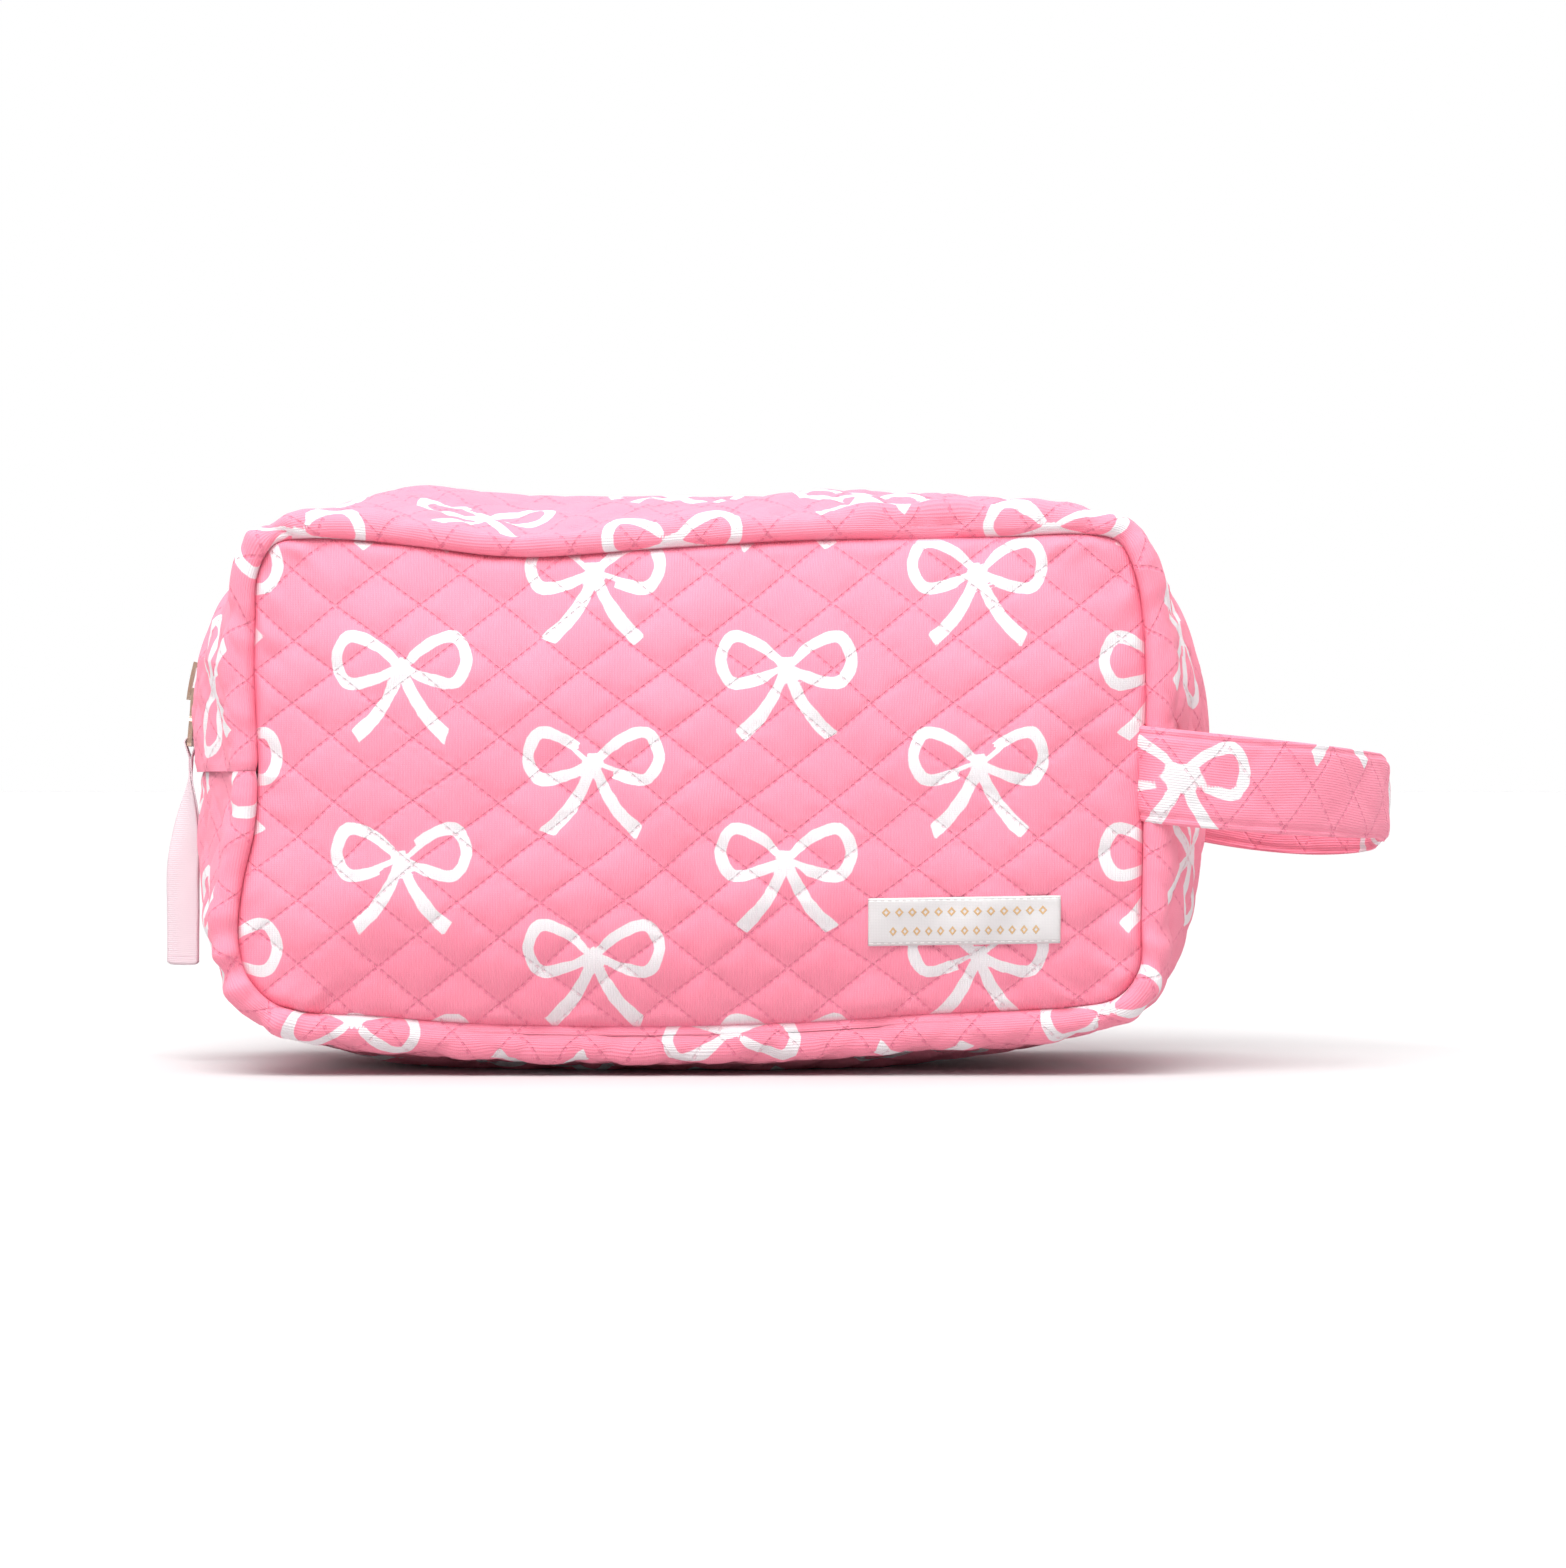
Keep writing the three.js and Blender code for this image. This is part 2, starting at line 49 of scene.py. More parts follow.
# Stations round the bag, clockwise from the cross seam at the zip slider's end. Each is a point on the
# panel seam and the crest point that faces it, halfway between the two panels:
# (seam x, seam z, crest x, crest z).
STATIONS = [
    (-113.5, 80, -136.5, 80),
    (-114, 94, -136.2, 96),
    (-114.5, 108, -133.4, 112),
    (-114.2, 120, -127, 128),
    (-113.7, 131, -120, 137),
    (-109.5, 139.3, -113.1, 142.7),
    (-101, 141, -105.3, 148.1),
    (-88, 140.6, -92.3, 154.3),
    (-72, 139, -74, 158),
    (-45, 136.2, -45, 155.6),
    (-10, 138.3, -10, 155),
    (30, 140.6, 30, 155.4),
    (60, 141, 60, 154.4),
    (84, 141.6, 86, 152.2),
    (103, 142.2, 107, 147.8),
    (112, 140.3, 115.2, 143.6),
    (116.5, 132, 122.7, 138),
    (118.6, 120, 130.7, 127.8),
    (119.3, 106, 137.6, 110.5),
    (119.4, 94, 140.2, 95),
    (119, 80, 140.4, 80),
    (118.6, 60, 139.4, 58),
    (118.2, 42, 135.8, 38),
    (117.6, 28, 127.5, 21),
    (111.5, 20.5, 117.5, 13.5),
    (100, 18, 104, 9),
    (84, 17, 86, 5.8),
    (60, 16, 60, 2.6),
    (30, 14, 32, 0.3),
    (0, 13, 0, 0.1),
    (-30, 13, -30, 0.1),
    (-60, 13.8, -60, 0.8),
    (-84, 15.6, -86, 2.8),
    (-101, 16.4, -106, 6.2),
    (-110, 19.6, -117.5, 13),
    (-116.6, 27, -126.5, 23),
    (-118.8, 38, -131.8, 36),
    (-117.4, 51, -134.8, 51),
    (-114.4, 65, -136.9, 66),
]
RIGHT_CROSS_SEAM = 20  # the station where the zip strips meet the base strip at the strap's end
CROSS_SEAM_Z = 80

# From a panel seam to the crest: shares of the roll beside the seam and of the swell behind it, the depth
# from the bag's middle, and how far the cloth is sunk below its outer face.
FOLD = [
    (0, 0, 53, 0),
    (0.07, 0, 54.6, 0),
    (0.4, 0, 56.6, 0),
    (0.8, 0.02, 55.2, 0),
    (1, 0.1, 50.8, 0),
    (1, 0.27, 44, 0),
    (1, 0.6, 32, 0),
    (1, 0.88, 17, 0),
]
BASE_FOLD = FOLD + [(1, 1, 0, 0)]
ZIP_FOLD = FOLD + [
    (1, 0.97, 10, 0),
    (1, 1, 6.2, 0.1),
    (1, 1, 4.9, 0.7),
    (1, 1, 4.6, 1.6),
    (1, 1, 5.4, 2.5),
    (1, 1, 9, 2.9),
]
LINING_FOLD = [
    (0, 0, 51.4, 0.6),
    (0.1, 0, 48.4, 0.9),
    (0.6, 0.02, 46.5, 2),
    (1, 0.16, 41, 4.4),
    (1, 0.6, 29, 4.6),
    (1, 0.9, 15, 4.6),
    (1, 1, 7.5, 4.6),
]
ROLL = 7.5
SEAM_DEPTH = 53
PANEL_MIDDLE_Z = 77
PANEL_CROWN = 6.2
CORE = (0.48, 0)  # the line in the middle of a panel, as shares of its outline
CLOTH_STEP = 0.75  # between neighbouring points of the quilted cloth
LIP_END = 62  # the zip strips fold open between these distances from the middle

DIAMOND = (21.5, 17.2)  # width and height of a quilted diamond
QUILT_DEPTH = 1.15
QUILT_SUNK = 0.6  # share of its depth that the quilting lies below the smooth form


class Curve:
    """A smooth curve through given points, walked by shares of its length."""

    def __init__(self, points, closed=False):
        points = np.asarray(points, float)
        count = len(points)
        if closed:
            points = np.vstack([points[-2:], points, points[:3]])
        chords = np.linalg.norm(np.diff(points, axis=0), axis=1) ** 0.6
        t = np.concatenate([[0], np.cumsum(chords)])
        slopes = np.diff(points, axis=0) / np.diff(t)[:, None]
        tangents = np.vstack([slopes[:1], (slopes[1:] + slopes[:-1]) / 2, slopes[-1:]])
        first, last = (2, 2 + count) if closed else (0, count - 1)
        samples = 24
        h = np.linspace(0, 1, samples, endpoint=False)[:, None]
        pieces = []
        for i in range(first, last):
            step = t[i + 1] - t[i]
            pieces.append(
                points[i] * (2 * h**3 - 3 * h**2 + 1)
                + points[i + 1] * (3 * h**2 - 2 * h**3)
                + tangents[i] * step * (h**3 - 2 * h**2 + h)
                + tangents[i + 1] * step * (h**3 - h**2)
            )
        self.points = np.vstack(pieces + [points[last : last + 1]])
        steps = np.linalg.norm(np.diff(self.points, axis=0), axis=1)
        self.run = np.concatenate([[0], np.cumsum(steps)])
        self.length = self.run[-1]
        self.knots = self.run[::samples] / self.length

    def at(self, shares):
        columns = [np.interp(np.asarray(shares) * self.length, self.run, c) for c in self.points.T]
        return np.stack(columns, -1)


loop = Curve(STATIONS, closed=True)
cross_share = loop.knots[RIGHT_CROSS_SEAM]


def noise(x, y, seed):
    """Smooth noise from -1 to 1, with one cell to each unit of x and of y."""
    table = np.random.default_rng(seed).uniform(-1, 1, (64, 64))
    i, j = np.floor(x).astype(int), np.floor(y).astype(int)
    u, v = x - i, y - j
    u, v = u * u * (3 - 2 * u), v * v * (3 - 2 * v)

    def corner(a, b):
        return table[(i + a) % 64, (j + b) % 64]

    low = corner(0, 0) * (1 - u) + corner(1, 0) * u
    high = corner(0, 1) * (1 - u) + corner(1, 1) * u
    return low * (1 - v) + high * v


def folded(stations, fold, side):
    """Points between the panel seam and the crest: a row to a station, a column to a fold point."""
    seam, crest = stations[:, None, :2], stations[:, None, 2:4]
    bulge = np.linalg.norm(crest - seam, axis=2, keepdims=True)
    roll, swell, depth, sunk = (fold[None, :, k : k + 1] for k in range(4))
    xz = seam + (crest - seam) / bulge * (ROLL * roll + (bulge - ROLL) * swell - sunk)
    y = np.broadcast_to(side * depth, xz[..., :1].shape)
    return np.concatenate([xz[..., :1], y, xz[..., 1:]], axis=2)


def fade(distance, reach):
    """1 at no distance, falling smoothly to nothing beyond the reach."""
    return np.exp(-((distance / reach) ** 2))


def squared(wave, power):
    """Pushes a cosine or sine towards plus and minus one, which squares off a round section."""
    return np.sign(wave) * np.abs(wave) ** power


def lengths(grid, axis):
    """The distance travelled along one axis of a grid of points."""
    steps = np.linalg.norm(np.diff(grid, axis=axis), axis=2)
    start = np.zeros_like(steps[:1] if axis == 0 else steps[:, :1])
    return np.concatenate([start, np.cumsum(steps, axis=axis)], axis=axis)


def normals_of(grid, wrap=False):
    along = (np.roll(grid, -1, 0) - np.roll(grid, 1, 0)) / 2 if wrap else np.gradient(grid, axis=0)
    normals = np.cross(along, np.gradient(grid, axis=1))
    return normals / (np.linalg.norm(normals, axis=2, keepdims=True) + 1e-9)


def corner_weight(stations):
    """1 where the panel seam turns a corner and 0 where it runs straight, station by station."""
    steps = np.gradient(stations[:, :2], axis=0)
    heading = np.unwrap(np.arctan2(steps[:, 1], steps[:, 0]))
    turning = np.abs(np.gradient(heading)) / np.linalg.norm(steps, axis=1)
    reach = 15
    window = np.ones(2 * reach + 1) / (2 * reach + 1)
    turning = np.convolve(np.pad(turning, reach, mode="edge"), window, "valid")
    return np.clip(turning / 0.07, 0, 1)


# ---- Quilting, and the bows painted on the cloth ----


def warped(u, v, seed):
    """Cloth coordinates with the small wander of a quilting machine."""
    return u + 1.1 * noise(u / 27, v / 27, seed), v + 1.1 * noise(u / 27, v / 27, seed + 1)


def quilting(u, v):
    """Height of the padding, from 0 on the stitched lines to 1 in the middle of a diamond."""
    pad, pucker = 1, 0
    for sign in (1, -1):
        across = u / DIAMOND[0] + sign * v / DIAMOND[1]
        from_line = 1 - np.abs(2 * (across % 1) - 1)
        along = u * DIAMOND[1] - sign * v * DIAMOND[0]
        ripple = noise(along / 45, across * 5 + sign * 9, 13)
        pucker = pucker + 0.16 * ripple * np.exp(-((from_line - 0.18) ** 2) / 0.016)
        from_line = np.minimum(np.sqrt(from_line**2 + 0.003), 1)
        pad = pad * (1 - (1 - from_line) ** 2.6)
    fullness = 0.9 + 0.4 * noise(u / 31, v / 26, 17)
    return np.maximum(pad, 0) ** 0.8 * fullness + pucker


# The print is one plain bow in a half-drop repeat. Its strokes are (points, brush widths along them).
HALF_BOW = [
    ([(0, 0), (7, 6), (14, 8), (17, 2), (14, -4), (7, -3), (0, 0)], (2.2, 3, 3.2, 3, 3.2, 3, 2.2)),
    ([(0, 0), (3, -7), (7, -13), (12, -18)], (2.4, 3.2, 3.6, 4)),
]
KNOT = ([(-1.6, 0), (1.6, 0)], (5.2, 5.2))
BOW_REPEAT = (50, 50)  # between neighbouring columns, and between the bows of a column


def bow(x, y):
    """The strokes of one upright bow, put down on the cloth at x, y."""
    mirrored = [([(-px, py) for px, py in points], widths) for points, widths in HALF_BOW]
    strokes = [KNOT] + HALF_BOW + mirrored
    return [([(x + px, y + py) for px, py in points], widths) for points, widths in strokes]


def bow_print(low, high):
    """Columns of bows over the cloth between two corners, every second column half a step lower."""
    strokes = []
    for column, x in enumerate(np.arange(low[0], high[0], BOW_REPEAT[0])):
        drop = BOW_REPEAT[1] / 2 * (column % 2)
        for y in np.arange(low[1] - drop, high[1], BOW_REPEAT[1]):
            strokes += bow(x, y)
    return strokes


def cut_across(gap, x, y, end, heading):
    """Ends a brush stroke with a slanting cut in place of a round tip."""
    slant = math.atan2(heading[1], heading[0]) + 0.45 * math.sin(7 * end[0] + 3 * end[1])
    dx, dy = x - end[0], y - end[1]
    beyond = dx * math.cos(slant) + dy * math.sin(slant)
    return np.where(np.hypot(dx, dy) < 6, np.maximum(gap, beyond), gap)


def painted(x, y, strokes):
    """Millimetres from each point of the cloth to the nearest paint: negative inside a stroke."""
    result = np.full(x.shape, 6.0)
    for points, widths in strokes:
        curve = Curve(points)
        count = max(5, int(curve.length / 1.3))
        line = curve.at(np.linspace(0, 1, count))
        brush = np.interp(np.linspace(0, 1, count), curve.knots, widths) / 2
        low, high = line.min(0) - 8, line.max(0) + 8
        near = (x > low[0]) & (x < high[0]) & (y > low[1]) & (y < high[1])
        px, py = x[near], y[near]
        gap = np.full(px.shape, 6.0)
        for i in range(count - 1):
            (ax, ay), (dx, dy) = line[i], line[i + 1] - line[i]
            along = ((px - ax) * dx + (py - ay) * dy) / (dx * dx + dy * dy + 1e-9)
            share = np.clip(along, 0, 1)
            reach = brush[i] + (brush[i + 1] - brush[i]) * share
            gap = np.minimum(gap, np.hypot(px - ax - share * dx, py - ay - share * dy) - reach)
        gap = cut_across(gap, px, py, line[0], line[0] - line[2])
        gap = cut_across(gap, px, py, line[-1], line[-1] - line[-3])
        result[near] = np.minimum(result[near], gap)
    return result + 0.22 * noise(x / 3.1, y / 3.1, 31) + 0.1 * noise(x / 1.1, y / 1.1, 32)


PANEL_PRINT = bow_print((-125, 32), (140, 160))
# On the strips x is the way along the strip and y is the way in from the panel seam.
ZIP_PRINT = bow_print((22, 28), (400, 80))
BASE_PRINT = bow_print((22, 28), (440, 150))
STRAP_PRINT = bow_print((14, 1), (260, 30))

# ---- Materials ----


def new_material(name, roughness, metallic=0.0, sheen=0.0):
    material = bpy.data.materials.new(name)
    material.use_nodes = True
    shader = material.node_tree.nodes["Principled BSDF"]
    shader.inputs["Roughness"].default_value = roughness
    shader.inputs["Metallic"].default_value = metallic
    shader.inputs["Sheen Weight"].default_value = sheen
    shader.inputs["Sheen Tint"].default_value = (1, 0.62, 0.72, 1)
    shader.inputs["Sheen Roughness"].default_value = 0.6
    return material, shader


class Nodes:
    """Short ways to add and join a material's nodes."""

    def __init__(self, material):
        self.tree = material.node_tree

    def add(self, kind, **settings):
        node = self.tree.nodes.new(kind)
        for name, value in settings.items():
            setattr(node, name, value)
        return node

    def join(self, socket, value):
        if isinstance(value, bpy.types.NodeSocket):
            self.tree.links.new(value, socket)
        else:
            socket.default_value = value

    def math(self, operation, *values):
        node = self.add("ShaderNodeMath", operation=operation)
        for socket, value in zip(node.inputs, values):
            self.join(socket, value)
        return node.outputs[0]

    def times(self, first, second):
        return self.math("MULTIPLY", first, second)

    def ramp(self, value, low, high, out_low=0.0, out_high=1.0):
        node = self.add("ShaderNodeMapRange", interpolation_type="SMOOTHSTEP")
        for socket, number in zip(node.inputs, (value, low, high, out_low, out_high)):
            self.join(socket, number)
        return node.outputs[0]

    def mix(self, share, first, second):
        node = self.add("ShaderNodeMix", data_type="RGBA")
        self.join(node.inputs[0], share)
        self.join(node.inputs[6], first)
        self.join(node.inputs[7], second)
        return node.outputs[2]

    def noise(self, vector, scale, detail=2.0):
        node = self.add("ShaderNodeTexNoise")
        self.join(node.inputs["Vector"], vector)
        node.inputs["Scale"].default_value = scale
        node.inputs["Detail"].default_value = detail
        return node.outputs["Fac"]

    def cloth_place(self):
        """The way across and the way up the cloth, in millimetres."""
        uv = self.add("ShaderNodeUVMap", uv_map="cloth").outputs[0]
        split = self.add("ShaderNodeSeparateXYZ")
        self.join(split.inputs[0], uv)
        return uv, split.outputs[0], split.outputs[1]

    def stripes(self, value, pitch):
        """A wave from 0 to 1 across each pitch."""
        wave = self.math("SINE", self.times(value, 2 * math.pi / pitch))
        return self.math("MULTIPLY_ADD", wave, 0.5, 0.5)

    def bump(self, shader, height, distance, strength=1.0):
        node = self.add("ShaderNodeBump")
        node.inputs["Strength"].default_value = strength
        node.inputs["Distance"].default_value = distance
        self.join(node.inputs["Height"], height)
        self.join(shader.inputs["Normal"], node.outputs[0])


PINK = (0.88, 0.238, 0.342, 1)
# Painted shade for the seam creases and the needle holes of the quilting, and the tint of its thread.
SHADE_AND_THREAD_PINK = (0.80, 0.19, 0.30, 1)
PAINT_WHITE = (0.76, 0.75, 0.765, 1)
WALE = 0.68  # between the knitted ribs of the jersey
STITCH = 2.2


def stitch_line(n, u, v, sign):
    """Distance from the nearest quilting line of one family, and the way along it, both in millimetres."""
    width, height = DIAMOND
    spacing = width * height / math.hypot(width, height)
    across = n.math("ADD", n.math("DIVIDE", u, width), n.math("DIVIDE", v, sign * height))
    gap = n.math("SUBTRACT", across, n.math("ROUND", across))
    distance = n.times(n.math("ABSOLUTE", gap), spacing)
    length = math.hypot(width, height)
    sideways = n.times(u, width / length)
    upwards = n.times(v, sign * height / length)
    return distance, n.math("SUBTRACT", sideways, upwards)


def quilting_stitches(n, u, v):
    """Where the thread shows on the quilting lines, and the needle holes between its stitches, which the
    jersey darkens with painted shade.
    """
    thread = 0.0
    holes = 0.0
    for sign in (1, -1):
        distance, along = stitch_line(n, u, v, sign)
        line = n.ramp(distance, 0.16, 0.5, 1.0, 0.0)
        dash = n.ramp(n.stripes(along, STITCH), 0.25, 0.6)
        thread = n.math("MAXIMUM", thread, n.times(line, dash))
        hole = n.times(line, n.math("SUBTRACT", 1.0, dash))
        holes = n.math("MAXIMUM", holes, hole)
    return thread, holes


def quilted_jersey():
    material, shader = new_material("quilted_jersey", 0.88, sheen=0.12)
    n = Nodes(material)
    uv, u, v = n.cloth_place()
    white = n.add("ShaderNodeAttribute", attribute_name="paint").outputs["Fac"]
    mottle = n.noise(uv, 0.09, 3)
    pink = n.mix(n.ramp(mottle, 0.3, 0.7, 0.0, 0.16), PINK, (0.92, 0.31, 0.41, 1))
    wales = n.stripes(u, WALE)
    courses = n.stripes(v, WALE * 0.8)
    knit = n.times(wales, n.math("MULTIPLY_ADD", courses, 0.35, 0.65))
    pink = n.mix(n.times(knit, 0.16), pink, (0.95, 0.45, 0.54, 1))
    thread, holes = quilting_stitches(n, u, v)
    edge = n.ramp(white, -0.18, 0.12, 1.0, 0.0)
    worn = n.ramp(n.noise(uv, 0.8, 4), 0.25, 0.75, 0.0, 0.07)
    paint = n.mix(worn, PAINT_WHITE, (0.76, 0.58, 0.63, 1))
    paint = n.mix(n.times(knit, 0.15), paint, (0.85, 0.85, 0.85, 1))
    colour = n.mix(n.times(edge, 0.97), pink, paint)
    bare = n.math("MULTIPLY_ADD", edge, -0.7, 1.0)
    colour = n.mix(n.times(n.times(thread, bare), 0.12), colour, SHADE_AND_THREAD_PINK)
    # Painted shade: the needle holes are darkened, as shade falls into these small dimples.
    colour = n.mix(n.times(n.times(holes, bare), 0.8), colour, SHADE_AND_THREAD_PINK)
    # Painted shade: the cloth is darkened along the panel seams and the strip ends, where shade falls in
    # the seam creases.
    seam = n.add("ShaderNodeAttribute", attribute_name="seam").outputs["Fac"]
    colour = n.mix(n.times(seam, 0.75), colour, SHADE_AND_THREAD_PINK)
    n.join(shader.inputs["Base Color"], colour)
    fuzz = n.noise(uv, 3.0, 3)
    height = n.math("MULTIPLY_ADD", knit, 0.5, n.times(fuzz, 0.5))
    height = n.math("SUBTRACT", height, n.times(holes, 1.2))
    height = n.math("SUBTRACT", height, n.times(thread, 0.5))
    n.bump(shader, height, 0.00022)
    return material


def woven(name, light, dark, roughness, pitch, depth=0.0001, sheen=0.1):
    """A plain weave, light thread over dark, one thread to a pitch in millimetres."""
    material, shader = new_material(name, roughness, sheen=sheen)
    n = Nodes(material)
    uv, u, v = n.cloth_place()
    weave = n.times(n.stripes(u, pitch), n.stripes(v, pitch))
    shade = n.math("MULTIPLY_ADD", n.noise(uv, 0.3, 3), 0.5, n.times(weave, 0.5))
    n.join(shader.inputs["Base Color"], n.mix(shade, dark, light))
    n.bump(shader, weave, depth)
    return material


def ribbon_satin():
    """Grosgrain: ribs across the ribbon, with a stitched hem near its end."""
    material, shader = new_material("ribbon_grosgrain", 0.55, sheen=0.25)
    n = Nodes(material)
    _, u, v = n.cloth_place()
    ribs = n.stripes(v, 0.55)
    colour = n.mix(n.times(ribs, 0.2), (0.70, 0.56, 0.60, 1), (0.78, 0.66, 0.69, 1))
    hem = n.ramp(n.math("ABSOLUTE", n.math("SUBTRACT", v, 2.2)), 0.12, 0.3, 1.0, 0.0)
    dash = n.ramp(n.stripes(u, 1.7), 0.3, 0.6)
    colour = n.mix(n.times(n.times(hem, dash), 0.5), colour, (0.78, 0.52, 0.6, 1))
    n.join(shader.inputs["Base Color"], colour)
    n.bump(shader, n.math("SUBTRACT", ribs, hem), 0.00006)
    return material


def label_weave():
    """A woven label with a stitched edge and two rows of small lozenges where a name would be."""
    material, shader = new_material("label_weave", 0.75, sheen=0.1)
    n = Nodes(material)
    _, u, v = n.cloth_place()
    weave = n.times(n.stripes(u, 0.4), n.stripes(v, 0.4))
    ground = n.mix(n.times(weave, 0.5), (0.64, 0.625, 0.625, 1), (0.74, 0.725, 0.72, 1))
    marks = 0.0
    for row, reach, pitch, wide in ((2.5, 22.1, 3.4, 1.15), (-2.5, 20.1, 3.1, 1.0)):
        place = n.math("DIVIDE", u, pitch)
        cell = n.math("SUBTRACT", place, n.math("ROUND", place))
        sideways = n.math("DIVIDE", n.math("ABSOLUTE", n.times(cell, pitch)), wide)
        upwards = n.math("DIVIDE", n.math("ABSOLUTE", n.math("SUBTRACT", v, row)), 1.25)
        ring = n.math("ABSOLUTE", n.math("SUBTRACT", n.math("ADD", sideways, upwards), 0.72))
        inside = n.ramp(n.math("ABSOLUTE", u), reach, reach + 0.1, 1.0, 0.0)
        marks = n.math("MAXIMUM", marks, n.times(n.ramp(ring, 0.2, 0.34, 1.0, 0.0), inside))
    colour = n.mix(n.times(marks, 0.85), ground, (0.62, 0.36, 0.12, 1))
    from_edge = n.math("ABSOLUTE", n.math("SUBTRACT", n.math("ABSOLUTE", v), 5.5))
    edge = n.ramp(from_edge, 0.1, 0.22, 1.0, 0.0)
    stitches = n.times(edge, n.ramp(n.stripes(u, 1.9), 0.35, 0.6))
    colour = n.mix(n.times(stitches, 0.6), colour, (0.97, 0.96, 0.95, 1))
    n.join(shader.inputs["Base Color"], colour)
    height = n.math("ADD", n.times(weave, 0.4), n.math("SUBTRACT", marks, edge))
    n.bump(shader, height, 0.00012)
    return material


def antique_brass():
    """Rose-gold plating, brighter where it is rubbed and darker elsewhere, in soft clouds."""
    material, shader = new_material("antique_brass", 0.3, metallic=1.0)
    n = Nodes(material)
    place = n.add("ShaderNodeTexCoord").outputs["Object"]
    cloud = n.noise(place, 260.0, 4)
    fine = n.noise(place, 1800.0, 2)
    rubbed = n.ramp(cloud, 0.35, 0.7)
    n.join(shader.inputs["Base Color"], n.mix(rubbed, (0.50, 0.33, 0.25, 1), (0.74, 0.55, 0.43, 1)))
    n.join(shader.inputs["Roughness"], n.ramp(cloud, 0.3, 0.7, 0.42, 0.24))
    n.bump(shader, fine, 0.00003)
    return material


def coil_nylon():
    material, shader = new_material("coil_nylon", 0.42)
    n = Nodes(material)
    place = n.add("ShaderNodeTexCoord").outputs["Object"]
    cloud = n.noise(place, 900.0, 2)
    n.join(shader.inputs["Base Color"], n.mix(cloud, (0.86, 0.31, 0.43, 1), (0.93, 0.45, 0.55, 1)))
    n.bump(shader, cloud, 0.00003)
    return material


jersey = quilted_jersey()
tape_weave = woven("zip_tape_weave", (0.92, 0.42, 0.52, 1), (0.84, 0.30, 0.42, 1), 0.8, 0.7)
lining_weave = woven("lining_weave", (0.94, 0.82, 0.85, 1), (0.88, 0.72, 0.77, 1), 0.6, 0.35, 0.00005, 0.15)
binding_weave = woven("binding_weave", (0.93, 0.62, 0.70, 1), (0.88, 0.52, 0.62, 1), 0.75, 0.6)
brass = antique_brass()
nylon = coil_nylon()

# ---- Making pieces ----


def quads_of(index):
    corners = (index[:-1, :-1], index[1:, :-1], index[1:, 1:], index[:-1, 1:])
    return np.stack(corners, -1).reshape(-1, 4)


def make_piece(
    name, grid, material, body, slot, nodes, cloth=None, paint=None, seam=None,
    normals=None, wrap=False, flip=False,
):
    """A smooth mesh from a grid of points in millimetres, riding on a CAD body in place of CAD nodes."""
    rows, columns = grid.shape[:2]
    index = np.arange(rows * columns).reshape(rows, columns)
    if wrap:
        index = np.vstack([index, index[:1]])
    quads = quads_of(index)
    if flip:
        quads = quads[:, ::-1]
    mesh = bpy.data.meshes.new(name)
    mesh.from_pydata((grid.reshape(-1, 3) / 1000).tolist(), [], quads.tolist())
    mesh.polygons.foreach_set("use_smooth", np.ones(len(quads), bool))
    mesh.materials.append(material)
    if cloth is not None:
        uv = mesh.uv_layers.new(name="cloth")
        corners = np.empty(len(mesh.loops), int)
        mesh.loops.foreach_get("vertex_index", corners)
        uv.data.foreach_set("uv", cloth.reshape(-1, 2)[corners].astype(np.float32).ravel())
    # The paint layer holds the print; the seam layer is a mask of painted shade along the seams.
    for layer_name, values in (("paint", paint), ("seam", seam)):
        if values is not None:
            layer = mesh.attributes.new(layer_name, "FLOAT", "POINT")
            layer.data.foreach_set("value", values.ravel().astype(np.float32))
    if normals is not None:
        mesh.normals_split_custom_set_from_vertices(normals.reshape(-1, 3).tolist())
    mesh.update()
    obj = bpy.data.objects.new(name, mesh)
    bpy.context.scene.collection.objects.link(obj)
    if body:
        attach(obj, body)
    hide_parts(*nodes)
    return obj


def thicken(obj, thickness):
    solid = obj.modifiers.new("thickness", "SOLIDIFY")
    solid.thickness = thickness / 1000
    solid.offset = 0
    return obj


# ---- Cloth that settles ----

COARSE = 3.2  # between the points of a settling cloth
FRAMES = 20
MAX_SETTLE = 3.5  # how far a point may move


def settled(grid, sewn, side, slack, push):
    """The points of a cloth, cut larger than its seams, when it has settled on its batting."""
    rows, columns = grid.shape[:2]
    index = np.arange(rows * columns).reshape(rows, columns)
    quads = quads_of(index) if side < 0 else quads_of(index)[:, ::-1]
    mesh = bpy.data.meshes.new("settling")
    mesh.from_pydata((grid.reshape(-1, 3) / 1000).tolist(), [], quads.tolist())
    obj = bpy.data.objects.new("settling", mesh)
    scene = bpy.context.scene
    scene.collection.objects.link(obj)
    obj.vertex_groups.new(name="sewn").add(index[sewn].tolist(), 1.0, "REPLACE")
    cloth = obj.modifiers.new("cloth", "CLOTH")
    cloth.collision_settings.use_collision = False
    settings = cloth.settings
    settings.vertex_group_mass = "sewn"
    settings.mass = 0.001
    settings.tension_stiffness = settings.compression_stiffness = 20
    settings.shear_stiffness = 8
    settings.bending_stiffness = 0.3
    settings.shrink_min = -slack
    settings.use_pressure = True
    settings.uniform_pressure_force = push
    settings.effector_weights.gravity = 0
    cloth.point_cache.frame_end = FRAMES
    for frame_number in range(1, FRAMES + 1):
        scene.frame_set(frame_number)
    moved = obj.evaluated_get(bpy.context.evaluated_depsgraph_get()).data
    points = np.empty(rows * columns * 3, np.float32)
    moved.vertices.foreach_get("co", points)
    bpy.data.objects.remove(obj)
    scene.frame_set(1)
    shift = points.reshape(grid.shape) * 1000 - grid
    distance = np.linalg.norm(shift, axis=2, keepdims=True) + 1e-6
    return grid + shift * np.minimum(distance, MAX_SETTLE) / distance


